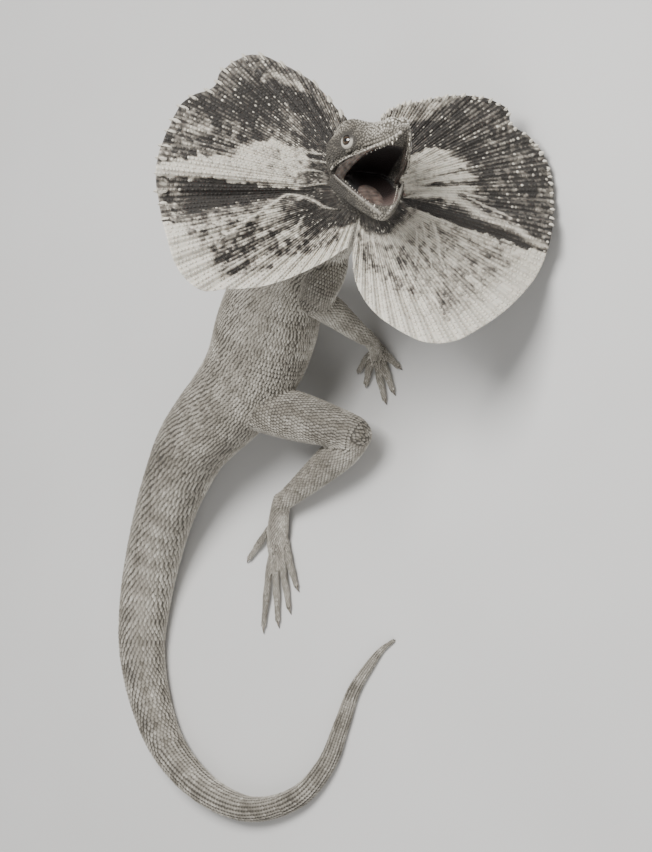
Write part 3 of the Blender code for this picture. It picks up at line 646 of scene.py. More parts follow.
def toeTracks(name, knuckle, tip, number):
    s = toeSettings
    start, end = np.array(knuckle, float), np.array(tip, float)
    way = unit(end - start)
    flat = np.array((way[0], way[1], 0))
    arch = [start + (end - start) * share + np.array((0, 0, lift)) for share, lift in s["arch"]]
    spots = [start - flat * s["root"], *arch]
    rows = [(*spot, s["radius"] * part) for spot, part in zip(spots, s["taper"])]
    track = makeTrack(f"{name}_toe{number}", rows, lineSteps["toe"], 1, coatDepth["toe"])
    joints = 3 if "foot" in name else 2  # a toe swells at its joints
    swelling = np.cos(track["along"] / track["along"][-1] * 2 * math.pi * joints)
    for key, part in s["swell"].items():
        track[key] = track[key] * (1 + part * swelling)
    clawRoot = arch[2] - flat * s["clawSunk"]
    clawTip = end + flat * s["claw"] * s["clawShare"]
    clawTip[2] = s["clawFloor"]
    return track, (clawRoot, clawTip)


bodyTrack = makeTrack("body", bodyLine, lineSteps["body"], -1, coatDepth["trunk"], power=2.25)
limbTracks = [makeTrack(name, rows, lineSteps["limb"], 1, coatDepth["limb"])
              for name, rows in limbLines.items()]
palmTracks = [makeTrack(name, rows, lineSteps["palm"], 1, coatDepth["limb"])
              for name, (rows, _) in pawLines.items()]
toes, claws = [], []
for pawName, (_, toeEnds) in pawLines.items():
    for toeNumber, (knuckle, tip) in enumerate(toeEnds):
        toe, claw = toeTracks(pawName, knuckle, tip, toeNumber)
        toes.append(toe)
        claws.append(claw)
allTracks = [bodyTrack, *limbTracks, *palmTracks, *toes]
print("lines drawn:", len(allTracks))


# The head, in its own frame: forward, left, up

skullLine = ((-12, 9.0, 7.5, -10.0), (-6, 16.5, 12.0, -11.0), (1, 20.2, 14.8, -8.0), (8, 19.8, 15.9, -5.4),
             (16, 17.6, 15.7, -4.3), (25, 14.1, 12.5, -4.0), (41, 7.9, 8.8, -4.0), (47, 5.8, 6.0, -4.0),
             (52, 4.0, 3.4, -3.6), (55.5, 2.4, 1.5, -2.7), (57, 0.9, 0.2, -1.4))
jawLine = ((-8, 14.0, -1.0, -9.0), (-3, 17.2, 1.0, -10.0), (5, 18.0, 2.0, -9.6), (14, 15.6, 2.2, -8.6),
           (23, 12.4, 2.2, -7.6), (32, 8.8, 2.2, -6.4), (39, 5.4, 2.0, -5.0), (43, 3.0, 1.6, -3.6),
           (45, 1.2, 0.8, -2.0))
headDetail = {
    "brow": ((3, 14.0, 11.8, 2.2), (10, 13.4, 13.7, 2.7), (18, 12.2, 13.2, 2.7), (26, 9.8, 10.6, 2.0),
             (33, 7.4, 8.2, 1.1)),
    "snout": (43.5, 2.6, 5.4), "snoutSize": (7.0, 3.6, 2.9),
    "socketSize": (5.5, 4.8, 5.4), "socketSunk": 1.0, "eyeRoom": 0.05, "bareRim": 0.95,
    "orbit": (4.4, 0.8, 1.6), "lid": (2.8, 1.0, 3.1), "lidWay": (0.6, 1.0, 0.05), "ear": (3.5, 19.9, -1.5),
    "earSunk": 1.1, "earRim": (2.9, 0.9, 1.2), "earHole": (2.1, 3.8, 2.5), "earHoleOut": 1.2,
    "nostril": (49.6, 4.6, 2.6), "nostrilSet": (-0.2, -0.5, 0.0), "nostrilWay": (0.35, 1.0, 0.3),
    "nostrilRim": (1.5, 0.7), "nostrilSize": (0.95, 1.7, 0.8), "palate": (17, 0, -8.5),
    "palateSize": (26, 13.4, 8.8), "mouthFloor": (14, 0, 4.0), "mouthFloorSize": (23, 11.8, 8.0),
}
# Along each jaw's edge: share of its half width, lift from it, where it starts and ends, thickness
edgeLines = {
    "upperLip": ("skull", 0.95, 0.5, 5, 55, 0.72), "lowerLip": ("jaw", 0.95, -0.5, 4, 43.8, 0.70),
    "upperGum": ("skull", 0.80, -0.5, 8, 52, 0.75), "lowerGum": ("jaw", 0.80, -0.9, 8, 42, 0.75),
    "upperTeeth": ("skull", 0.82, -0.9, 14, 52, 0), "lowerTeeth": ("jaw", 0.80, -0.5, 12, 42, 0),
    "upperPlates": ("skull", 1.0, 2.3, 4, 54, 0), "lowerPlates": ("jaw", 1.0, -1.9, 2, 42, 0),
}


def edgeLine(name, side, steps=24):
    # points and thickness along one side of a jaw's edge, in the head's frame or the jaw's
    jaw, share, lift, start, end, radius = edgeLines[name]
    table = smoothRows(skullLine if jaw == "skull" else jawLine, 8)
    forward = np.linspace(start, end, steps)
    wide = np.interp(forward, table[:, 0], table[:, 1]) * share * side
    level = np.interp(forward, table[:, 0], table[:, 3 if jaw == "skull" else 2]) + lift
    return np.column_stack([forward, wide, level, np.full(steps, radius)])


def boxedRings(line, middleShare, power, steps=8, sides=72):
    # rings of a rounded box: half width, top and underside at each row
    rings, inset = [], coatDepth["head"]
    turns = np.linspace(0, 2 * math.pi, sides, endpoint=False) + math.pi / sides
    c, s = np.cos(turns), np.sin(turns)
    for f, wide, top, low in smoothRows(line, steps):
        middle = low + middleShare * (top - low)
        x = np.sign(c) * np.abs(c) ** (2 / power) * max(wide - inset, 0.3)
        high = np.where(s > 0, top - middle, middle - low) - inset
        z = np.sign(s) * np.abs(s) ** (2 / power) * high
        rings.append(np.column_stack([np.full(sides, f), x, middle + z]))
    return rings


def plainTube(rows, sides=12, steps=6):
    track = makeTrack("tube", rows, steps, 1, 0)
    return tubeMesh(trackRings(track, sides, 0.0, ((0.7, 0.6),)))


def headShape():
    d = headDetail
    skull = makeObject("skullShape", *headPlaced(tubeMesh(boxedRings(skullLine, 0.42, 2.7))))
    faceOut(skull)
    pieces, cuts, gums = [], [], []
    for side in (1, -1):
        places = (headSettings["eye"], d["ear"], d["nostril"], d["snout"], d["nostrilSet"], d["nostrilWay"],
                  d["lidWay"])
        eye, ear, nose, snout, noseSet, noseWay, lidWay = (np.array(p) for p in mirrored(places, side))
        lidWay = unit(lidWay)
        lids = [torusMesh(eye + lidWay * out, lidWay, radius, thick)
                for radius, thick, out in (d["orbit"], d["lid"])]
        pieces += [plainTube(mirrored(d["brow"], side), 16),
                   sphereMesh(snout, d["snoutSize"]),
                   sphereMesh(eye - (0, d["socketSunk"] * side, 0), d["socketSize"]),
                   *lids,
                   torusMesh(ear - (0, d["earSunk"] * side, 0), (0, side, 0), *d["earRim"]),
                   torusMesh(nose + noseSet, noseWay, *d["nostrilRim"]),
                   plainTube(edgeLine("upperLip", side), 12, 1)]
        cuts += [sphereMesh(eye, (headSettings["eyeRadius"] + d["eyeRoom"],) * 3),
                 sphereMesh(ear + (0, d["earHoleOut"] * side, 0), d["earHole"]),
                 sphereMesh(nose, d["nostrilSize"])]
        gums.append(plainTube(edgeLine("upperGum", side), 12, 1))
    fuse(skull, [makeObject("piece", *headPlaced(piece)) for piece in pieces])
    cuts.insert(0, sphereMesh(np.array(d["palate"], float), d["palateSize"], 40, 24))
    fuse(skull, [makeObject("cut", *headPlaced(cut)) for cut in cuts], "DIFFERENCE")
    fuse(skull, [makeObject("piece", *headPlaced(gum)) for gum in gums])
    return skull


def headPlaced(mesh):
    points, faces = mesh
    return inHead(points), faces


def jawPlaced(mesh):
    points, faces = mesh
    return inJaw(points), faces


def jawShape():
    d = headDetail
    jaw = makeObject("jawShape", *jawPlaced(tubeMesh(boxedRings(jawLine, 0.55, 2.3))))
    faceOut(jaw)
    floorCut = sphereMesh(np.array(d["mouthFloor"], float), d["mouthFloorSize"], 40, 24)
    fuse(jaw, [makeObject("cut", *jawPlaced(floorCut))], "DIFFERENCE")
    lips = [plainTube(edgeLine(part, side), 12, 1) for part in ("lowerLip", "lowerGum") for side in (1, -1)]
    fuse(jaw, [makeObject("piece", *jawPlaced(lip)) for lip in lips])
    return jaw


skinSettings = {"voxel": 0.62, "sides": 64, "limbSides": 32, "toeSides": 16, "relax": 3, "pull": 0.5,
                "joinRelax": 14, "joinPull": 0.7, "joinReach": 3.5, "pawJoin": 0.25}
nearSettings = {"every": 2, "reach": 40, "batch": 20000}  # samples skipped, mm round a line, points at a time


def skinParts():
    # closed shapes that overlap, to be drawn over with one skin
    s = skinSettings
    parts = [tubeMesh(trackRings(bodyTrack, s["sides"], coatDepth["tail"]))]
    parts += [tubeMesh(trackRings(track, s["limbSides"], track["coat"])) for track in limbTracks + palmTracks]
    parts += [tubeMesh(trackRings(track, s["toeSides"], track["coat"])) for track in toes]
    return parts


def relax(points, ends, weights, rounds):
    # draws every point towards the middle of its neighbours, by its own weight
    a, b = ends.T
    n = len(points)
    count = np.maximum(np.bincount(a, minlength=n) + np.bincount(b, minlength=n), 1)
    for _ in range(rounds):
        sums = [np.bincount(a, points[b, k], n) + np.bincount(b, points[a, k], n) for k in range(3)]
        points = points + (np.column_stack(sums) / count[:, None] - points) * weights[:, None]
    return points


def nearest(points, tracks):
    # for every point: the nearest track, its sample, how far outside that track and the next it lies
    every, reach, batch = (nearSettings[key] for key in ("every", "reach", "batch"))
    best, second = np.full(len(points), 1e9), np.full(len(points), 1e9)
    which, sample = np.zeros(len(points), int), np.zeros(len(points), int)
    for number, track in enumerate(tracks):
        centres = track["centres"][::every]
        radius = ((track["wide"] + track["high"]) / 2)[::every]
        low, high = centres.min(axis=0) - reach, centres.max(axis=0) + reach
        inside = np.nonzero(((points > low) & (points < high)).all(axis=1))[0]
        for start in range(0, len(inside), batch):
            some = inside[start:start + batch]
            apart = points[some, None, :].astype(np.float32) - centres[None].astype(np.float32)
            outside = np.sqrt((apart ** 2).sum(axis=2)) - radius[None]
            k = outside.argmin(axis=1)
            gap = outside[np.arange(len(some)), k]
            closer = gap < best[some]
            second[some] = np.where(closer, best[some], np.minimum(second[some], gap))
            which[some] = np.where(closer, number, which[some])
            sample[some] = np.where(closer, k * every, sample[some])
            best[some] = np.minimum(best[some], gap)
    return which, sample, best, second


def buildSkin():
    s = skinSettings
    skull, jaw = headShape(), jawShape()
    print("head shaped")
    skin = makeObject("skin", *merged(skinParts()), materials["skin"])
    faceOut(skin)
    whole = bmesh.new()
    for part in (skin, skull, jaw):
        whole.from_mesh(part.data)
    whole.to_mesh(skin.data)
    whole.free()
    for part in (skull, jaw):
        bpy.data.objects.remove(part, do_unlink=True)
    step = skin.modifiers.new("drawnOver", "REMESH")
    step.mode, step.voxel_size = "VOXEL", s["voxel"] * mm
    settle(skin)
    ends = np.empty(len(skin.data.edges) * 2, np.int32)
    skin.data.edges.foreach_get("vertices", ends)
    ends = ends.reshape(-1, 2)
    points = pointsOf(skin)
    points = relax(points, ends, np.full(len(points), s["pull"]), s["relax"])
    which, _, out, second = nearest(points, allTracks)
    inJoin = np.exp(-((out / s["joinReach"]) ** 2)) * np.exp(-((second / s["joinReach"]) ** 2))
    onPaw = np.array(["hand" in track["name"] or "foot" in track["name"] for track in allTracks])
    inJoin[onPaw[which]] *= s["pawJoin"]
    inJoin[inHeadZone(points)] = 0.0
    points = relax(points, ends, s["joinPull"] * inJoin, s["joinRelax"])
    points[:, 2] = np.maximum(points[:, 2], floorLevel)
    setPoints(skin, points)
    skin.data.shade_smooth()
    return skin


skin = buildSkin()
print("skin drawn:", len(skin.data.vertices), "points")


# Markings: the same rule paints the skin and what grows on it

# onSkin: share and offset of the tone on the skin itself, which is darker than the scales as painted shade in
# the gaps
markSettings = {"base": 0.62, "back": 0.10, "belly": 0.14, "broad": 0.11, "broadSize": 22, "blotch": 0.13,
                "blotchSize": 6.5, "band": 0.035, "bandStep": 17.0, "onSkin": (0.55, -0.10)}
# base is the head's own tone, partly lowered as painted shade so that its sides are dark
faceMarks = {"base": 0.26, "snout": 0.58, "crown": 0.34, "socket": 0.24, "temple": 0.20, "spot": 0.34,
             # spot is a painted highlight on the upper lid, in front of and above the eye
             "lidHighlightAt": (25, 7.5), "throat": 0.16, "fleck": 0.10, "fleckSize": 2.6, "blotch": 0.08,
             "blotchSize": 5.5}
lipMarks = {"upperLip": 0.85, "lowerLip": 0.45, "lid": 0.72, "width": (0.85, 1.3)}


def aroundTrack(track, sample, points):
    # how high on its track each point sits, from -1 below to 1 above, and its turn
    away = points - track["centres"][sample]
    up = (away * track["ups"][sample]).sum(axis=1)
    left = (away * track["lefts"][sample]).sum(axis=1)
    return up / np.maximum(np.hypot(up, left), 1e-6), np.arctan2(up, left)


def skinMarks(points, which, sample):
    # how light the coat is at every point, from the trunk's bands and the face's own marks
    m, face = markSettings, faceMarks
    tone = np.full(len(points), m["base"])
    tone += (m["broad"] * softNoise(points, m["broadSize"], 1)
             + m["blotch"] * softNoise(points, m["blotchSize"], 2))
    for number, track in enumerate(allTracks):
        some = which == number
        if not some.any():
            continue
        height = aroundTrack(track, sample[some], points[some])[0]
        tone[some] -= m["back"] * blend(height, 0.35, 0.95)
        tone[some] += m["belly"] * blend(-height, 0.2, 0.8)
        tone[some] -= m["band"] * np.sin(track["along"][sample[some]] / m["bandStep"] * 2 * math.pi)
    q = headOf(points)
    f, left, up = q.T
    onHead = (blend(f, -18, -8) * (1 - blend(np.abs(left), 24, 27)) * (1 - blend(np.abs(up), 34, 40))
              * (1 - blend(f, 58, 62)))
    below = headToJaw(q)
    shade = face["base"] + face["snout"] * blend(f, 22, 40) * blend(up, -3, 4)
    shade += face["crown"] * blend(up, 8, 13) - face["socket"] * np.exp(-((eyeGaps(q)[0] - 4) / 4.0) ** 2)
    shade -= face["temple"] * (1 - blend(f, 6, 22)) * (1 - blend(up, 5, 11))
    throat = (1 - blend(below[:, 2], -2, 1)) * (1 - blend(below[:, 0], 38, 44)) * blend(-up, 6, 10)
    shade -= face["throat"] * throat
    # painted highlight: a pale spot on the upper lid, in front of and above the eye
    shade += face["spot"] * np.exp(-(((f - face["lidHighlightAt"][0]) ** 2 + (up - face["lidHighlightAt"][1]) ** 2) / 5.0))
    shade += face["fleck"] * softNoise(points, face["fleckSize"], 3)
    shade += face["blotch"] * softNoise(points, face["blotchSize"], 4)
    return tone * (1 - onHead) + shade * onHead


def eyeGaps(q):
    # distance to the nearer eye's middle, and nearness to the lower edge of its lids
    gap, near = np.full(len(q), 1e9), np.zeros(len(q))
    radius, thick, out = headDetail["lid"]
    for side in (1, -1):
        away = q - mirrored([headSettings["eye"]], side)[0]
        gap = np.minimum(gap, np.linalg.norm(away, axis=1))
        lidWay = unit(mirrored([headDetail["lidWay"]], side)[0])
        along = away @ lidWay
        fromRing = np.hypot(np.linalg.norm(away - along[:, None] * lidWay, axis=1) - radius, along - out)
        low = 1 - blend(away[:, 2] + 0.3 * away[:, 0], 0.8, 2.4)
        near = np.maximum(near, (1 - blend(fromRing, thick, thick + 0.5)) * low)
    return gap, near


def nearLine(spots, line):
    return np.sqrt(((spots[:, None] - line[None, :, :3]) ** 2).sum(axis=2)).min(axis=1)


def mouthMarks(points):
    # inside of the mouth, the painted shade that darkens it towards the back, and the pale lips
    q = headOf(points)
    j = headToJaw(q)
    d = headDetail
    fromPalate = (((q - np.array(d["palate"])) / np.array(d["palateSize"])) ** 2).sum(axis=1)
    fromFloor = (((j - np.array(d["mouthFloor"])) / np.array(d["mouthFloorSize"])) ** 2).sum(axis=1)
    near = 1 - blend(np.linalg.norm(q - headSettings["zone"], axis=1), 42, 48)
    lining = np.maximum(1 - blend(fromPalate, 1.02, 1.20), 1 - blend(fromFloor, 1.02, 1.20)) * near
    # painted shade: darker towards the back of the mouth, on its floor and under the palate
    mouthShade = np.where(fromFloor < fromPalate, 1 - blend(j[:, 0], 10, 30), 1 - 0.5 * blend(q[:, 0], 34, 46))
    lip = np.zeros(len(points))
    some = np.nonzero(near > 0)[0]
    for spots, lineName in ((q, "upperLip"), (j, "lowerLip")):
        for side in (1, -1):
            gap = nearLine(spots[some], edgeLine(lineName, side))
            lip[some] = np.maximum(lip[some], lipMarks[lineName] * (1 - blend(gap, *lipMarks["width"])))
    return lining, mouthShade, np.maximum(lip * near, eyeGaps(q)[1] * lipMarks["lid"])


skinPoints = pointsOf(skin)
skinWhich, skinSample = nearest(skinPoints, allTracks)[:2]
skinLining, skinMouthShade, skinLip = mouthMarks(skinPoints)
# the skin shows only between the scales, and is painted darker there than they are: painted shade in the gaps
skinShare, skinGapShade = markSettings["onSkin"]
paint(skin, "tone", skinMarks(skinPoints, skinWhich, skinSample) * skinShare + skinGapShade)
paint(skin, "lining", skinLining)
paint(skin, "mouthShade", skinMouthShade)
paint(skin, "lip", skinLip)
print("skin marked")


# The coat: small closed scales, set in rows along each line and close between the rows

unwrapSettings = {"scale": 0.003, "edge": 0.001}


def scaleShape(kind):
    # points, faces, and the painted light and shade at each point: a painted highlight on the keel or top,
    # painted shade round the rim and underneath
    if kind == "keeled":
        half = [(-0.50, 0.0, -0.30), (-0.36, 0.31, -0.20), (-0.02, 0.50, -0.02), (0.32, 0.36, 0.26),
                (0.58, 0.0, 0.52)]
        rim = half + [(x, -y, z) for x, y, z in half[3:0:-1]]
        keel = [(-0.28, 0.0, 0.35), (0.06, 0.0, 0.80), (0.47, 0.0, 0.98)]
        points = rim + keel + [(0.05, 0.0, -0.30)]
        side = [(0, 8, 1), (1, 8, 9), (1, 9, 2), (2, 9, 3), (3, 9, 10), (3, 10, 4)]
        swap = {0: 0, 1: 7, 2: 6, 3: 5, 4: 4, 8: 8, 9: 9, 10: 10}
        under = [(k, (k + 1) % 8, 11) for k in range(8)]
        faces = side + [tuple(swap[k] for k in face) for face in side] + under
        paintedShading = [-0.24, -0.22, -0.16, -0.06, 0.04, -0.06, -0.16, -0.22, -0.04, 0.12, 0.20, -0.3]
    else:
        inner, edge, top = {"granule": (0.33, 0.60, 1.0), "plate": (0.40, 0.80, 0.95),
                            "flat": (0.36, 0.75, 0.95)}[kind]
        turns = [math.pi * k / 3 for k in range(6)]
        points = [(0.5 * math.cos(t), 0.5 * math.sin(t), -0.35) for t in turns]
        points += [(inner * math.cos(t), inner * math.sin(t), edge) for t in turns] + [(0, 0, top)]
        faces = [(k, (k + 1) % 6, 6 + k) for k in range(6)]
        faces += [((k + 1) % 6, 6 + (k + 1) % 6, 6 + k) for k in range(6)]
        faces += [(6 + k, 6 + (k + 1) % 6, 12) for k in range(6)]
        faces += [(0, 2, 1), (0, 3, 2), (0, 4, 3), (0, 5, 4)]
        paintedShading = [-0.20] * 6 + [0.02] * 6 + [0.10]
    points = np.array(points, float)
    middle = points.mean(axis=0)
    turned = []
    for a, b, c in faces:
        out = np.cross(points[b] - points[a], points[c] - points[a])
        turned.append((a, b, c) if out @ (points[[a, b, c]].mean(axis=0) - middle) > 0 else (a, c, b))
    return points, np.array(turned), np.array(paintedShading)


def plantScales(name, kind, spots, ways, normals, sizes, tones, places, material, smooth=False, paintedShadingShare=1.0):
    # one joined mesh of scales; places are their spots on the skin's unwrap
    shape, faces, paintedShading = scaleShape(kind)
    normals = unit(normals)
    ways = unit(ways - normals * (ways * normals).sum(axis=1)[:, None])
    across = np.cross(normals, ways)
    n, m = len(spots), len(shape)
    points = (spots[:, None] + ways[:, None] * (shape[None, :, :1] * sizes[:, None, :1])
              + across[:, None] * (shape[None, :, 1:2] * sizes[:, None, 1:2])
              + normals[:, None] * (shape[None, :, 2:] * sizes[:, None, 2:]))
    points = points.reshape(-1, 3)
    points[:, 2] = np.maximum(points[:, 2], coatFloor)
    corners = (faces[None] + (np.arange(n) * m)[:, None, None]).reshape(-1, 3)
    obj = quickObject(name, points, corners, material, smooth)
    # each scale's tone, plus its painted highlight and painted shade at the given strength
    paint(obj, "tone", (tones[:, None] + paintedShading[None] * paintedShadingShare).ravel())
    patch = places[:, None] + shape[None, :, :2] * unwrapSettings["scale"]
    patch = np.clip(patch.reshape(-1, 2), unwrapSettings["edge"], 1 - unwrapSettings["edge"])
    layer = obj.data.uv_layers.new(name="OFBake")
    layer.data.foreach_set("uv", patch[corners.ravel()].astype(np.float32).ravel())
    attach(obj, "root")
    print(name, n, "scales,", len(corners), "triangles")
    return obj


skinTree = BVHTree.FromObject(skin, bpy.context.evaluated_depsgraph_get())


def onSkin(points):
    # nearest places on the skin, their normals, and how far off they are
    spots, normals, gaps = np.zeros_like(points), np.zeros_like(points), np.full(len(points), 99.0)
    for i, p in enumerate(points * mm + shift):
        spot, normal, _, gap = skinTree.find_nearest(p, 0.004)
        if spot is not None:
            spots[i], normals[i], gaps[i] = spot, normal, gap / mm
    return (spots - shift) / mm, normals, gaps


# Scale length at the rows of the body line, then on the other lines
scaleSizes = {"body": ((0, 1.3), (4, 1.9), (8, 2.6), (12, 3.0), (14, 2.9), (16, 2.55), (18, 2.25), (22, 2.0),
                       (28, 1.7)),
              "thigh": 2.0, "shin": 1.95, "upper_arm": 1.7, "forearm": 1.7, "hand": 1.3, "foot": 1.45,
              "toe": 1.3, "head": 1.35, "plate": 2.2, "ridgedTo": 9, "tailTo": 15}
coatShape = {"long": 1.22, "wide": 0.92, "high": 0.30, "headLong": 1.14, "headWide": 1.08, "headHigh": 0.26,
             "plate": (1.02, 0.92, 0.30), "rowStep": 0.80, "pitch": 0.93, "jitter": 0.008,
             "vary": (0.92, 1.08)}
# Scales between the rows: their size, the room round each, and where the skin stays bare
fillSettings = {"size": 0.88, "apart": 0.82, "fromRows": 0.78, "fromPlates": 1.35, "cell": 2.6,
                "rowApart": 0.62, "offSkin": 2.4, "plateOff": 2.5, "rowLining": 0.2, "lining": 0.15,
                "lip": 0.3}


def sizeAlong(track):
    if track["name"] == "body":
        rows, sizes = zip(*scaleSizes["body"])
        return np.interp(np.linspace(0, len(bodyLine) - 1, len(track["along"])), rows, sizes)
    key = "toe" if "_toe" in track["name"] else track["name"].rsplit("_", 1)[0]
    return np.full(len(track["along"]), scaleSizes[key])


def rowsOn(track):
    # rings of scales: staggered ones, and on the thin part of the tail ones that line up into ridges
    sizes, run = sizeAlong(track), track["along"]
    ridgedTo = run[scaleSizes["ridgedTo"] * lineSteps["body"]] if track["name"] == "body" else 0
    spots, ways, lengths, row, at = [], [], [], 0, 0.4
    while at < run[-1]:
        size = float(np.interp(at, run, sizes))
        index = max(1, int(np.searchsorted(run, at)))
        past = (at - run[index - 1]) / (run[index] - run[index - 1])
        radius = (track["wide"][index] + track["high"][index]) / 2
        around = 2 * math.pi * radius / (size * coatShape["pitch"])
        ridged = at < ridgedTo
        count = max(6, 4 * int(round(around / 4)) if ridged else int(round(around)))
        stagger = 0.0 if ridged else 0.5 * (row % 2)
        turns = 2 * math.pi * (np.arange(count) + stagger) / count
        turns = turns + chance.normal(0, coatShape["jitter"], count)
        before, after = (sectionPoints(track, np.full(count, k), turns, track["coat"])
                         for k in (index - 1, index))
        spots.append(before + (after - before) * past)
        ways.append(np.repeat(track["ways"][index][None] * track["toTip"], count, axis=0))
        lengths.append(np.full(count, size))
        at += size * coatShape["rowStep"]
        row += 1
    return np.vstack(spots), np.vstack(ways), np.concatenate(lengths)


def treeOf(points):
    tree = KDTree(len(points))
    for i, p in enumerate(points):
        tree.insert(p, i)
    tree.balance()
    return tree


def placeOn(points, which, sample):
    # where each point lies on the unwrap: one tile for each line, round it and along it
    tiles = int(math.ceil(math.sqrt(len(allTracks))))
    places = np.zeros((len(points), 2))
    for number, track in enumerate(allTracks):
        some = which == number
        turn = aroundTrack(track, sample[some], points[some])[1]
        along = track["along"][sample[some]] / track["along"][-1]
        if track["name"] == "body":
            places[some] = np.column_stack([0.02 + 0.96 * along, 0.52 + 0.46 * (turn / (2 * math.pi) + 0.5)])
        else:
            tile = np.array([number % tiles, number // tiles])
            inTile = np.column_stack([along, turn / (2 * math.pi) + 0.5]) * 0.9 + 0.05
            places[some] = (tile + inTile) / tiles * np.array([0.98, 0.5])
    return places


def headPlaces(points):
    f, left, up = headOf(points).T
    return np.column_stack([(f + 20) / 85, np.arctan2(up + 2, left) / (2 * math.pi) + 0.5])


def gather():
    # rows from every line, kept where no earlier line's rows already lie
    spots, ways, lengths, tree = [], [], [], None
    for track in allTracks:
        rowSpots, rowWays, size = rowsOn(track)
        spot, normal, gap = onSkin(rowSpots)
        dry = mouthMarks(spot)[0] < fillSettings["rowLining"]
        keep = (gap < fillSettings["offSkin"]) & dry & ~inHeadZone(spot)
        if tree is not None:
            near = np.array([tree.find(s)[2] if k else 0 for s, k in zip(spot, keep)])
            keep &= near > fillSettings["rowApart"] * size
        spots.append(spot[keep])
        ways.append(np.column_stack([rowWays[keep], normal[keep]]))
        lengths.append(size[keep])
        tree = treeOf(np.vstack(spots))
    return np.vstack(spots), np.vstack(ways), np.concatenate(lengths), tree


def lipPlates():
    # a row of larger plates beside each lip
    spots, ways = [], []
    for name, placed in (("upperPlates", inHead), ("lowerPlates", inJaw)):
        for side in (1, -1):
            line = placed(edgeLine(name, side, 200)[:, :3])
            along = alongOf(line)
            stops = np.arange(0.5, along[-1], scaleSizes["plate"])
            row = np.column_stack([np.interp(stops, along, line[:, k]) for k in range(3)])
            spots.append(row)
            ways.append(unit(np.gradient(row, axis=0)))
    spots, normals, gaps = onSkin(np.vstack(spots))
    keep = gaps < fillSettings["plateOff"]
    return spots[keep], np.vstack(ways)[keep], normals[keep]


def headSizes(q):
    size = scaleSizes["head"] + 0.35 * blend(q[:, 0], 30, 46) * blend(q[:, 2], 0, 5)
    size = size + 0.2 * (1 - blend(q[:, 0], -6, 10))
    return size - 0.35 * np.exp(-((eyeGaps(q)[0] - 4) / 3) ** 2)


def isFree(cells, key, p, pitch):
    x, y, z = key
    for dx, dy, dz in product((-1, 0, 1), repeat=3):
        for j in cells.get((x + dx, y + dy, z + dz), ()):
            away = skinPoints[j] - p
            if away @ away < pitch * pitch:
                return False
    return True


def fillBetween(tree, plates):
    # scales at the skin's own points wherever the rows leave it bare
    s = fillSettings
    q = headOf(skinPoints)
    onHead = inHeadZone(skinPoints)
    size = np.zeros(len(skinPoints))
    for number, track in enumerate(allTracks):
        some = skinWhich == number
        size[some] = sizeAlong(track)[skinSample[some]] * s["size"]
    size = np.where(onHead, headSizes(q), size)
    offEye = eyeGaps(q)[0] > headSettings["eyeRadius"] + headDetail["bareRim"]
    bare = (skinLining < s["lining"]) & (skinLip < s["lip"]) & offEye
    cells, chosen = {}, []
    keys = np.floor(skinPoints / s["cell"]).astype(int).tolist()
    for i in chance.permutation(np.nonzero(bare)[0]):
        p = skinPoints[i]
        if onHead[i]:
            taken = plates.find(p)[2] < s["fromPlates"]
        else:
            taken = tree.find(p)[2] < s["fromRows"] * size[i]
        if not taken and isFree(cells, keys[i], p, s["apart"] * size[i]):
            cells.setdefault(tuple(keys[i]), []).append(i)
            chosen.append(i)
    chosen = np.array(chosen)
    ways = np.zeros((len(chosen), 3))
    for number, track in enumerate(allTracks):
        some = skinWhich[chosen] == number
        ways[some] = track["ways"][skinSample[chosen][some]] * track["toTip"]
    ways[onHead[chosen]] = -headAxes[:, 0]
    return skinPoints[chosen], ways, normalsOf(skin)[chosen], size[chosen], onHead[chosen]


def coatSkin():
    c = coatShape
    plateSpots, plateWays, plateNormals = lipPlates()
    spots, both, lengths, tree = gather()
    print("rows set:", len(spots))
    more, moreWays, moreNormals, moreSizes, moreHead = fillBetween(tree, treeOf(plateSpots))
    print("filled between:", len(more))
    spots = np.vstack([spots, more])
    ways, normals = np.vstack([both[:, :3], moreWays]), np.vstack([both[:, 3:], moreNormals])
    lengths = np.concatenate([lengths, moreSizes])
    onHead = np.concatenate([np.zeros(len(lengths) - len(more), bool), moreHead])
    which, sample = nearest(spots, allTracks)[:2]
    tones = skinMarks(spots, which, sample) + chance.normal(0, 1, len(spots)) * np.where(onHead, 0.04, 0.07)
    names = np.array([track["name"] for track in allTracks])[which]
    isBody = (names == "body") & ~onHead
    isTail = isBody & (sample < scaleSizes["tailTo"] * lineSteps["body"])
    isPaw = np.array(["hand" in name or "foot" in name for name in names]) & ~onHead
    groups = {"tail_scales": isTail, "trunk_scales": isBody & ~isTail, "paw_scales": isPaw,
              "limb_scales": ~isBody & ~isPaw & ~onHead, "head_scales": onHead}
    coat = []
    for name, some in groups.items():
        fine = name == "head_scales"
        factors = (c["headLong"], c["headWide"], c["headHigh"]) if fine else (c["long"], c["wide"], c["high"])
        sizes = lengths[some, None] * np.array(factors) * chance.uniform(*c["vary"], (some.sum(), 1))
        places = headPlaces(spots[some]) if fine else placeOn(spots[some], which[some], sample[some])
        coat.append(plantScales(name, "granule" if fine else "keeled", spots[some], ways[some], normals[some],
                                sizes, tones[some], places, materials["scale"], fine, 0.5 if fine else 1.0))
    plateTones = skinMarks(plateSpots, *nearest(plateSpots, allTracks)[:2]) + 0.10
    plateTones += chance.normal(0, 0.05, len(plateSpots))
    plateSizes = np.tile(np.array(c["plate"]) * scaleSizes["plate"], (len(plateSpots), 1))
    coat.append(plantScales("lip_plates", "plate", plateSpots, plateWays, plateNormals, plateSizes,
                            plateTones, headPlaces(plateSpots), materials["scale"], True, 0.6))
    return coat


coat = coatSkin()


# The frill: two pleated halves round the neck, angles in degrees from the crown, clockwise from the front

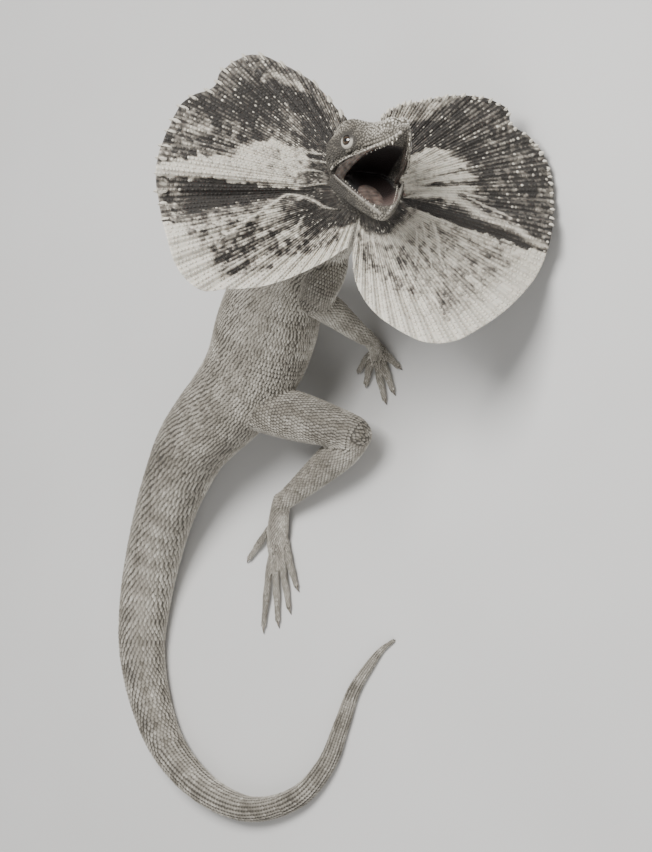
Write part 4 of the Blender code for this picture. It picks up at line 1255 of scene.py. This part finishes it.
frillSettings = {
    "centre": (151, -40.5, 92), "azimuth": -65.0, "elevation": 50.0, "roll": 80.0, "root": 13.0,
    "setBack": 5.0, "tiltUp": 0.30, "skin": 0.8, "sunk": 0.22, "pleats": 30, "pleatHeight": 0.75,
    "folds": 104, "foldHeight": 0.26, "greatFrom": 1.6, "foldFrom": 2.2, "crestEnds": (0.1, 4.0, 0.4),
    "columns": 416, "rings": 96, "foldShade": 0.15, "scaleStep": 1.8, "scaleLong": 0.94, "scaleWide": 0.72,
    "scaleHigh": 0.20, "scatter": 0.3, "kept": 0.84, "scaledFrom": (0.10, 0.14), "scaledTo": 0.985,
    "dotShare": 0.13, "dotTone": (0.2, 0.7),
}
edgeSettings = {"from": 1.0, "scatter": 0.12, "share": 0.98, "sharpTo": (98, 112), "blunt": 1.0,
                "vary": (0.75, 1.2), "wide": 1.4, "sharpWide": 1.3, "high": 1.5, "tone": 0.95,
                "toneVary": 0.05, "sunk": 0.3}
frillHalves = {
    "frill_right": {
        "reach": ((-14, 37), (-19, 43), (-25, 58), (-33, 74), (-40, 87), (-51, 91), (-57, 89), (-65, 97),
                  (-75, 99), (-88, 101), (-97, 100), (-106, 99), (-116, 99.5), (-124, 95), (-128, 85),
                  (-134, 73.5), (-146, 51), (-158, 36), (-165, 31)),
        "slope": 0.36,
        "great": ((-84, 6, 3.0), (-95, 6, -7.0), (-107, 7, 4.5), (-132, 14, -4.0), (-50, 16, -3.0)),
        # crests: path of angle and share of the reach, width and rise; each is also painted pale as a painted
        # highlight
        "crests": ((((-131, 0.05), (-118, 0.10), (-103, 0.17), (-96.5, 0.28), (-101, 0.37), (-105.6, 0.47),
                     (-110.5, 0.63), (-112, 0.72)), 0.95, 1.5),
                   (((-115.8, 0.23), (-122, 0.31), (-129.8, 0.42)), 0.75, 0.6),
                   (((-34, 0.05), (-52, 0.19), (-60, 0.30)), 0.5, 0.5),
                   (((-50, 0.05), (-62, 0.20), (-73, 0.34)), 0.6, 0.8),
                   (((-66, 0.05), (-74, 0.20), (-83, 0.30)), 0.5, 0.6),
                   (((-82, 0.04), (-89, 0.18), (-88, 0.28)), 0.55, 0.6)),
        "points": (4.2, 4.8),  # degrees between the margin's points, and their length
        # patches: edges at the root, edges at the margin, shares, darkness, mottle, softness of the edges
        "patches": (((-14, -190), (-14, -190), (-0.5, 1.5), 0.94, 0.24, 3),
                    ((-10, -27), (-10, -30), (0.0, 1.5), 0.70, 0.28, 4),
                    ((-25, -62), (-25, -62), (0.86, 1.5), 0.70, 0.28, 4),
                    ((-30, -41), (-30, -41), (0.76, 0.86), 0.30, 0.40, 3),
                    ((-42, -64), (-42, -64), (0.34, 0.60), 0.72, 0.45, 4),
                    ((-40, -94), (-90, -86), (0.22, 0.56), 0.13, 0.56, 2.6),
                    ((-25, -104), (-25, -104), (-0.5, 0.22), 0.82, 0.60, 4),
                    ((-54, -89.5), (-85.5, -88.6), (0.5, 1.5), 0.07, 0.24, 1.6),
                    ((-60, -72), (-67, -84), (0.60, 1.5), 0.70, 0.60, 2.6),
                    # this patch is painted shadow in the crease beside the main ridge
                    ((-93, -92), (-89.8, -104), (0.14, 0.88), 0.98, 0.10, 0.9),
                    ((-90, -102), (-90, -102), (0.87, 1.5), 0.52, 0.62, 1.6),
                    ((-98, -190), (-104, -190), (-0.5, 1.5), 0.12, 0.22, 1.2),
                    ((-97, -104), (-102, -108), (0.30, 0.92), 0.58, 0.50, 1.8),
                    ((-104, -134), (-104, -130), (0.28, 0.85), 0.50, 0.85, 3),
                    ((-126, -158), (-126, -150), (0.24, 0.64), 0.46, 0.85, 3),
                    # this patch is painted shadow near the root of the lower lobe
                    ((-97, -190), (-108, -170), (-0.5, 0.32), 0.93, 0.24, 4),
                    ((-103, -190), (-103, -190), (0.87, 1.5), 0.04, 0.16, 1.2)),
    },
    "frill_left": {
        "reach": ((13, 38), (23, 48), (32, 55), (45, 72), (52, 81), (59, 86.5), (64, 84.5), (71, 91.5),
                  (80, 96), (90, 97), (104, 97), (114, 97), (125, 94), (140, 90), (150, 88), (159, 82.5),
                  (168, 72), (178, 60), (186, 47), (191, 33)),
        "slope": 0.33,
        "great": ((103, 6, 4.5), (114, 8, -5.0), (150, 18, 3.0), (70, 14, -3.0), (92, 6, -1.5)),
        "crests": ((((101, 0.08), (94.6, 0.16), (91.5, 0.33), (96.5, 0.44), (101.8, 0.57), (104, 0.78),
                     (106.2, 0.90), (106.6, 1.0)), 2.3, 2.2),
                   (((80, 0.16), (80, 0.36), (82, 0.56)), 0.9, 0.8),
                   (((66, 0.18), (70, 0.36), (74, 0.50)), 0.9, 0.7),
                   (((86, 0.22), (90, 0.42), (93, 0.60)), 0.9, 0.8),
                   (((92, 0.44), (97, 0.60), (100, 0.74)), 0.8, 0.7),
                   (((111, 0.26), (120, 0.34), (131, 0.46), (136, 0.58)), 0.8, 0.6),
                   (((118, 0.22), (130, 0.34), (140, 0.50)), 0.7, 0.5),
                   (((124, 0.20), (137, 0.32), (148, 0.44)), 0.7, 0.5)),
        "points": (2.6, 3.2),
        "patches": (((10, 200), (10, 200), (-0.5, 1.5), 0.82, 0.36, 3),
                    ((8, 40), (8, 42), (0.25, 1.5), 0.44, 0.34, 4),
                    ((28, 74), (34, 70), (0.30, 0.66), 0.92, 0.16, 3),
                    ((60, 104), (60, 104), (0.46, 1.5), 0.78, 0.50, 4),
                    ((62, 76), (62, 80), (0.44, 0.72), 0.88, 0.25, 4),
                    ((38, 96), (86, 96), (0.06, 0.52), 0.13, 0.46, 3),
                    ((82, 85), (84.5, 88), (0.22, 0.66), 0.74, 0.40, 1.2),
                    ((88, 91), (92, 100), (0.40, 0.80), 0.84, 0.36, 1.6),
                    ((75, 77), (78, 80), (0.30, 0.58), 0.60, 0.40, 1.2),
                    ((105, 200), (108, 200), (-0.5, 1.5), 0.15, 0.30, 1.0),
                    ((108, 154), (110, 150), (0.26, 0.82), 0.36, 0.46, 3.5),
                    ((150, 190), (150, 186), (0.24, 0.62), 0.42, 0.60, 3.5),
                    # this patch is painted shadow under the main ridge
                    ((99.5, 110), (107.2, 109), (0.08, 0.94), 0.97, 0.08, 0.8),
                    # this patch is painted shadow near the root of the lower lobe
                    ((106, 200), (112, 200), (-0.5, 0.17), 0.86, 0.25, 3),
                    ((108.5, 200), (108.5, 200), (0.86, 1.5), 0.02, 0.10, 1.2)),
    },
}
frillAxes = turnedAxes(frillSettings["azimuth"], frillSettings["elevation"], frillSettings["roll"])
frillCentre = np.array(frillSettings["centre"], float)


def frillSpan(half):
    angles = sorted(a for a, _ in half["reach"])
    return angles[0], angles[-1]


def frillReach(half, angle):
    angles, reaches = zip(*sorted(half["reach"]))
    soft = smoothRows(list(zip(angles, reaches)), 6)
    return np.interp(angle, soft[:, 0], soft[:, 1])


def farOut(half, angle, share):
    # distance from the neck's middle
    root = frillSettings["root"]
    return root + (frillReach(half, angle) - root) * share


def onSheet(half, angle, share):
    # flat place on the half's own plane
    far = farOut(half, angle, share)
    return np.column_stack([far * np.sin(np.radians(angle)), far * np.cos(np.radians(angle))])


def crestRise(half, angle, share):
    # nearness to each crest's path, and how far it lifts the skin
    rise, near = np.zeros(len(angle)), np.zeros(len(angle))
    spots = onSheet(half, angle, share)
    start, middle, end = frillSettings["crestEnds"]
    for path, width, lift in half["crests"]:
        line = smoothRows(path, 16)
        rising, falling = np.linspace(start, middle, len(line)), np.linspace(middle, end, len(line))
        full = np.clip(np.minimum(rising, falling), 0, 1)
        gap = np.full(len(spots), 1e9)
        for place, fullness in zip(onSheet(half, line[:, 0], line[:, 1]), full):
            gap = np.minimum(gap, np.hypot(*(spots - place).T) / fullness)
        hill = np.exp(-((gap / width) ** 2))
        rise, near = rise + hill * lift, np.maximum(near, hill)
    return rise, near


def frillPoints(half, angle, share, back=False):
    # the sheet's front or back: its tilt, great waves, pleats, fine folds and crests
    s = frillSettings
    first, last = frillSpan(half)
    way = (angle - first) / (last - first)
    x, y = onSheet(half, angle, share).T
    ease = np.minimum(1.0, share * s["greatFrom"])
    depth = -half["slope"] * x - s["tiltUp"] * y - s["setBack"] * (1 - share)
    for middle, width, rise in half["great"]:
        depth = depth + rise * np.exp(-(((angle - middle) / width) ** 2)) * ease
    depth = depth - s["pleatHeight"] * np.cos(way * 2 * math.pi * s["pleats"]) * ease
    foldEase = np.minimum(1, share * s["foldFrom"])
    depth = depth + s["foldHeight"] * np.cos(way * 2 * math.pi * s["folds"]) * foldEase
    if not back:
        depth = depth + crestRise(half, angle, share)[0]
    depth = depth - s["sunk"] - (s["skin"] if back else 0.0)
    local = np.column_stack([depth, x, y])
    local[:, 0] += 0.5 * softNoise(local, 14, 5) * ease
    return local @ frillAxes.T + frillCentre


def between(x, low, high, soft):
    # 1 from low to high, with soft ends
    return blend(x, low - soft, low + soft) * (1 - blend(x, high - soft, high + soft))


def frillDark(half, angle, share, points):
    # darkness from the patches, their edges frayed, then mottled and streaked along the folds, and lightened
    # along the crests as a painted highlight
    frayA = 0.8 * softNoise(points, 6, 11) + 0.9 * softNoise(points, 2.4, 12)
    frayS = 0.012 * softNoise(points, 7, 13) + 0.012 * softNoise(points, 2.6, 14)
    dark, mottle = np.zeros(len(angle)), np.zeros(len(angle))
    for root, margin, (shareLow, shareHigh), darkness, spread, soft in half["patches"]:
        one, two = (root[k] + (margin[k] - root[k]) * share for k in (0, 1))
        mask = between(angle + soft * frayA, np.minimum(one, two), np.maximum(one, two), soft * 0.5)
        mask = mask * between(share + soft * frayS, shareLow, shareHigh, 0.02 + 0.012 * soft)
        dark = dark + (darkness - dark) * mask
        mottle = mottle + (spread - mottle) * mask
    streaks = softNoise(np.column_stack([angle * 1.1, share * 9, np.zeros(len(angle))]), 1.4, 21)
    spots = 0.5 * streaks
    for strength, size, seed in ((0.5, 1.4, 22), (0.4, 2.8, 23), (0.25, 7, 24)):
        spots = spots + strength * softNoise(points, size, seed)
    # painted highlight: the skin is painted pale along each crest
    near = crestRise(half, angle, share)[1]
    return (dark + mottle * spots) * (1 - near * (0.78 + 0.25 * streaks)), dark


def foldLight(half, angle):
    # from -1 in the furrows to 1 on the crests of the fine folds
    first, last = frillSpan(half)
    return np.cos((angle - first) / (last - first) * 2 * math.pi * frillSettings["folds"])


backSettings = {"dark": 0.44, "broad": 0.10, "fine": 0.10, "margin": 0.16}


def backDark(points, share):
    b = backSettings
    mottle = b["broad"] * softNoise(points, 9, 31) + b["fine"] * softNoise(points, 2.4, 32)
    return b["dark"] + mottle - b["margin"] * blend(share, 0.85, 1.0)


def frillHalf(name):
    half, s = frillHalves[name], frillSettings
    first, last = frillSpan(half)
    columns, rings = s["columns"] + 1, s["rings"] + 1
    angle, share = np.meshgrid(np.linspace(first, last, columns), np.linspace(0, 1, rings), indexing="ij")
    angle, share = angle.ravel(), share.ravel()
    front, back = frillPoints(half, angle, share), frillPoints(half, angle, share, back=True)
    n = len(front)
    i, j = np.meshgrid(np.arange(columns - 1), np.arange(rings - 1), indexing="ij")
    a = (i * rings + j).ravel()
    b, c, d = a + 1, a + rings + 1, a + rings
    border = np.array(gridBorder(columns, rings))
    after = np.roll(border, -1)
    faces = np.vstack([np.column_stack(corners) for corners in (
        (a, b, c), (a, c, d), (a + n, c + n, b + n), (a + n, d + n, c + n),
        (border, border + n, after + n), (border, after + n, after))])
    obj = quickObject(name + "_skin", np.vstack([front, back]), faces, materials["frill"], True)
    faceOut(obj)
    # painted shade in the furrows of the fine folds, painted highlight on their crests
    frontDark = frillDark(half, angle, share, front)[0] - s["foldShade"] * foldLight(half, angle)
    paint(obj, "dark", np.concatenate([frontDark, backDark(back, share)]))
    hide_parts(name)
    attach(obj, "root")


def frillScales(name, back):
    # low scales on the crest of every fine fold, smaller towards the neck
    half, s = frillHalves[name], frillSettings
    first, last = frillSpan(half)
    angle, share, step = [], [], s["scaleStep"]
    for k in range(s["folds"] + 1):
        a = min(first + (last - first) * (k + (0.5 if back else 0.0)) / s["folds"], last - 0.05)
        reach = float(frillReach(half, np.array([a]))[0]) - s["root"]
        count = int(reach / step)
        scatter = chance.uniform(-s["scatter"], s["scatter"], count)
        shares = (np.arange(count) + 0.5 * (k % 2) + scatter) * step / reach
        keep = (shares > s["scaledFrom"][back]) & (shares < s["scaledTo"])
        keep &= chance.uniform(0, 1, count) < s["kept"]
        angle.append(np.full(keep.sum(), max(a, first + 0.05)))
        share.append(shares[keep])
    angle, share = np.concatenate(angle), np.concatenate(share)
    n = len(angle)
    spots = frillPoints(half, angle, share, back)
    outward = frillPoints(half, angle, share + 0.01, back) - spots
    sideways = frillPoints(half, angle + 0.25, share, back) - frillPoints(half, angle - 0.25, share, back)
    normals = unit(np.cross(unit(sideways), unit(outward)))
    normals = normals * np.sign((normals * frillAxes[:, 0]).sum(axis=1))[:, None] * (-1 if back else 1)
    if back:
        tones = 1 - backDark(spots, share) + chance.normal(0, 0.12, n)
    else:
        dark, base = frillDark(half, angle, share, spots)
        dots = (chance.uniform(0, 1, n) < s["dotShare"]) & (base > 0.6) & (base < 0.95)
        tones = 1.05 - dark + chance.normal(0, 0.08, n) + chance.uniform(*s["dotTone"], n) * dots
    wide = np.radians((last - first) / s["folds"]) * farOut(half, angle, share) * s["scaleWide"]
    sizes = np.column_stack([np.full(n, step * s["scaleLong"]), wide, np.full(n, s["scaleHigh"])])
    places = np.column_stack([(angle - first) / (last - first), share])
    piece = plantScales(f"{name}_{'back' if back else 'front'}_scales", "flat", spots, outward, normals,
                        sizes, tones, places, materials["frillScale"], True, 0.32)


def edgeScales(name):
    # pale pointed scales along the upper margin, lower ones blunter
    half, s = frillHalves[name], edgeSettings
    first, last = frillSpan(half)
    spacing, length = half["points"]
    angle = np.arange(first + s["from"], last - s["from"], spacing)
    n = len(angle)
    angle = angle + chance.uniform(-s["scatter"], s["scatter"], n) * spacing
    share = np.full(n, s["share"])
    front = frillPoints(half, angle, share)
    spots = (front + frillPoints(half, angle, share, back=True)) / 2
    outward = frillPoints(half, angle, share + 0.02) - front
    normals = np.repeat(frillAxes[:, 0][None], n, axis=0)
    sharp = 1 - blend(np.abs(angle), *s["sharpTo"])
    long = (s["blunt"] + length * sharp) * chance.uniform(*s["vary"], n)
    sizes = np.column_stack([long, s["wide"] + s["sharpWide"] * sharp, np.full(n, s["high"])])
    tones = s["tone"] + chance.normal(0, s["toneVary"], n)
    places = np.column_stack([(angle - first) / (last - first), share])
    piece = plantScales(f"{name}_edge_scales", "keeled", spots - normals * s["sunk"], outward, normals, sizes,
                        tones, places, materials["frillScale"])


for halfName in frillHalves:
    frillHalf(halfName)
    frillScales(halfName, False)
    frillScales(halfName, True)
    edgeScales(halfName)
print("frill spread")


# In the mouth and on the toes

mouthSettings = {
    # outer edge of each cheek web, from the upper lip round the corner to the lower lip, then the free edge
    "outer": ((43, 6.9, -3.6), (38.5, 8.2, -3.6), (33, 10.0, -3.6), (27, 12.2, -3.7), (21, 14.2, -3.9),
              (14, 16.2, -4.4), (8, 17.4, -5.6), (3, 17.0, -8.5), (5, 16.6, -10.5), (8, 16.2, -12.7),
              (13, 15.1, -16.7), (19, 13.4, -21.6)),
    "innerRight": ((42, 6.3, -4.3), (38, 8.8, -4.8), (33, 10.8, -5.3), (27, 12.2, -6.1), (21, 13.2, -7.2),
                   (15, 14.0, -8.6), (11, 14.6, -10.0), (9, 14.6, -11.6), (9, 14.5, -13.6), (10, 13.9, -16.2),
                   (13, 13.0, -19.0), (18, 12.0, -22.0)),
    "innerLeft": ((42, 5.6, -4.2), (38, 6.6, -4.6), (32, 8.6, -5.1), (25, 10.4, -6.1), (18, 12.0, -7.5),
                  (12, 12.9, -9.0), (9, 12.8, -11.0), (8, 12.4, -12.6), (8, 11.6, -14.6), (10, 10.4, -17.4),
                  (13, 9.0, -20.6), (18, 7.6, -23.6)),
    "cheekSkin": 0.8, "cheekBulge": 0.7, "wrinkle": 0.16, "wrinkles": (15, 9),
    "tongue": ((0, 0, -5.2, 5.0, 2.0), (8, 0, -4.7, 7.0, 2.5), (17, 0, -4.2, 7.0, 2.4),
               (26, 0, -3.8, 5.6, 1.9), (33, 0, -3.6, 3.4, 1.2)),
    "groove": (1.1, 0.7), "lumps": (0.22, 1.6), "teeth": 13, "tooth": (0.75, 0.38), "fang": (1.8, 0.6),
    "toothRoot": 0.7, "toothLean": 0.25, "toothBend": 0.15,
}
eyeSettings = {"lensRadius": 2.6, "lensRise": 0.35}


def cheekWeb(side):
    # the skin stretched from the upper lip to the lower jaw, its free edge drawn back in a curve
    m = mouthSettings
    outer = smoothRows(mirrored(m["outer"], side), 6)
    inner = smoothRows(mirrored(m["innerLeft" if side > 0 else "innerRight"], side), 6)
    across = np.linspace(0, 1, 13)
    turn = np.linspace(0, 1, len(outer))[:, None]
    grid = outer[:, None] + (inner - outer)[:, None] * across[None, :, None]
    waves, drift = m["wrinkles"]
    bulge = m["cheekBulge"] * 4 * across * (1 - across) * np.sin(turn * math.pi)
    wrinkle = m["wrinkle"] * np.sin(across * waves + 2.0 * np.sin(turn * drift)) * np.sin(turn * math.pi)
    grid[:, :, 1] += side * (bulge + wrinkle)
    rows, cols = grid.shape[:2]
    front = grid.reshape(-1, 3)
    points = np.vstack([front, front - np.array((0, m["cheekSkin"] * side, 0))])
    n = rows * cols
    faces = []
    for i in range(rows - 1):
        for j in range(cols - 1):
            a, b, c, d = i * cols + j, i * cols + j + 1, (i + 1) * cols + j + 1, (i + 1) * cols + j
            faces += [[a, b, c, d], [n + d, n + c, n + b, n + a]]
    border = gridBorder(rows, cols)
    faces += [[a, n + a, n + b, b] for a, b in zip(border, border[1:] + border[:1])]
    web = makeObject(f"cheek_{'left' if side > 0 else 'right'}", inHead(points), faces, materials["cheek"])
    faceOut(web)
    soft = web.modifiers.new("soft", "SUBSURF")
    soft.levels = soft.render_levels = 1
    settle(web)
    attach(web, "root")


def addTongue():
    # thick and short, with a groove along its middle
    m = mouthSettings
    points, faces = tubeMesh(trackRings(makeTrack("tongue", m["tongue"], 8, 1, 0), 36, 0.0))
    grooveWide, grooveDeep = m["groove"]
    lumpHigh, lumpSize = m["lumps"]
    points[:, 2] -= grooveDeep * (np.exp(-(points[:, 1] / grooveWide) ** 2) * (points[:, 2] > -2))
    points += lumpHigh * softNoise(points, lumpSize, 41)[:, None] * np.array((0.2, 0.3, 1.0))
    tongue = makeObject("tongue", *jawPlaced((points, faces)), materials["tongue"])
    faceOut(tongue)
    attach(tongue, "root")


def spike(base, tip, radius, bend, sides=10, rings=7):
    # a curved cone, bent away from its straight line by bend
    base, tip, bend = (np.array(p, float) for p in (base, tip, bend))
    share = np.linspace(0, 0.97, rings)
    centres = base + (tip - base) * share[:, None] + bend * (4 * share * (1 - share))[:, None]
    ways = unit(np.gradient(centres, axis=0))
    left = unit(np.cross(ways, (0.3, 0.2, 1.0)))
    up = np.cross(ways, left)
    turns = np.linspace(0, 2 * math.pi, sides, endpoint=False)
    wide = radius * (1 - share ** 1.4 * 0.96)
    points = (centres[:, None] + left[:, None] * (np.cos(turns)[None, :, None] * wide[:, None, None])
              + up[:, None] * (np.sin(turns)[None, :, None] * wide[:, None, None]))
    return (*tubeMesh(points), np.repeat(share, sides))


def addSpikes(name, spikes, material):
    points, faces = merged([(p, f) for p, f, _ in spikes])
    obj = makeObject(name, points, faces, material)
    faceOut(obj)
    paint(obj, "along", np.concatenate([share for _, _, share in spikes]))
    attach(obj, "root")


def toothSpikes(line, down, placed):
    # small even teeth, with one longer pair near the front
    m = mouthSettings
    spikes = []
    for side in (1, -1):
        for k, spot in enumerate(edgeLine(line, side, m["teeth"])[:, :3]):
            length, radius = m["fang"] if k == m["teeth"] - 2 else m["tooth"]
            root, tip = spot + (0, 0, down * m["toothRoot"]), spot + (m["toothLean"], 0, -down * length)
            points, faces, share = spike(root, tip, radius, (m["toothBend"], 0, 0))
            spikes.append((placed(points), faces, share))
    return spikes


def addEyes():
    # each ball looks along its own middle, where the lens stands a little proud
    for side, which in ((-1, "right"), (1, "left")):
        points, faces = sphereMesh(np.zeros(3), (headSettings["eyeRadius"],) * 3, 48, 32)
        lens = np.exp(-((np.hypot(points[:, 0], points[:, 1]) / eyeSettings["lensRadius"]) ** 2))
        points[:, 2] += eyeSettings["lensRise"] * lens * (points[:, 2] > 0)
        mesh = bpy.data.meshes.new("eyeball_" + which)
        mesh.from_pydata((points * mm).tolist(), [], faces)
        mesh.shade_smooth()
        mesh.materials.append(materials["eye"])
        eye = bpy.data.objects.new("eyeball_" + which, mesh)
        bpy.context.scene.collection.objects.link(eye)
        middle, lidWay = (np.array(p) for p in mirrored((headSettings["eye"], headDetail["lidWay"]), side))
        gaze = Vector(headAxes @ unit(lidWay)).to_track_quat("Z", "Y")
        eye.matrix_world = Matrix.Translation(Vector(inHead(middle) * mm + shift)) @ gaze.to_matrix().to_4x4()
        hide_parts("eye_" + which)
        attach(eye, "root")


for mouthSide in (1, -1):
    cheekWeb(mouthSide)
addTongue()
addSpikes("upper_teeth", toothSpikes("upperTeeth", 1, inHead), materials["tooth"])
addSpikes("lower_teeth", toothSpikes("lowerTeeth", -1, inJaw), materials["tooth"])
clawSpikes = [spike(root, tip, toeSettings["clawRadius"], (0, 0, toeSettings["clawBend"]))
              for root, tip in claws]
addSpikes("claws", clawSpikes, materials["claw"])
addEyes()
print("mouth, eyes and claws set")


# The skin stands for all the flesh, and the room is plain

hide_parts(*[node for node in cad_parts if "eye" not in node and "frill" not in node])
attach(skin, "root")

room = {"floor": 3.0, "keyPower": 26.0, "keySize": 0.6, "keyAt": (0.50, 0.06, 1.20), "fillPower": 8.0,
        "fillSize": 1.2, "fillAt": (-0.5, -1.1, 0.9), "lightsAim": (0, 0, 0.06), "sky": 0.42,
        "skyColour": (0.82, 0.83, 0.85, 1)}


def addRoom():
    mesh = bpy.data.meshes.new("floor")
    r = room["floor"]
    mesh.from_pydata([(-r, -r, 0), (r, -r, 0), (r, r, 0), (-r, r, 0)], [], [(0, 1, 2, 3)])
    mesh.materials.append(materials["floor"])
    floor = bpy.data.objects.new("floor", mesh)
    bpy.context.scene.collection.objects.link(floor)
    for name in ("key", "fill"):
        light = bpy.data.lights.new(name, "AREA")
        light.size, light.energy = room[name + "Size"], room[name + "Power"]
        lamp = bpy.data.objects.new(name, light)
        lamp.location = room[name + "At"]
        lamp.rotation_euler = (Vector(room["lightsAim"]) - lamp.location).to_track_quat("-Z", "Y").to_euler()
        bpy.context.scene.collection.objects.link(lamp)
    world = bpy.data.worlds.new("sky")
    world.use_nodes = True
    sky = world.node_tree.nodes["Background"]
    sky.inputs["Color"].default_value = room["skyColour"]
    sky.inputs["Strength"].default_value = room["sky"]
    bpy.context.scene.world = world


addRoom()
print("room lit")
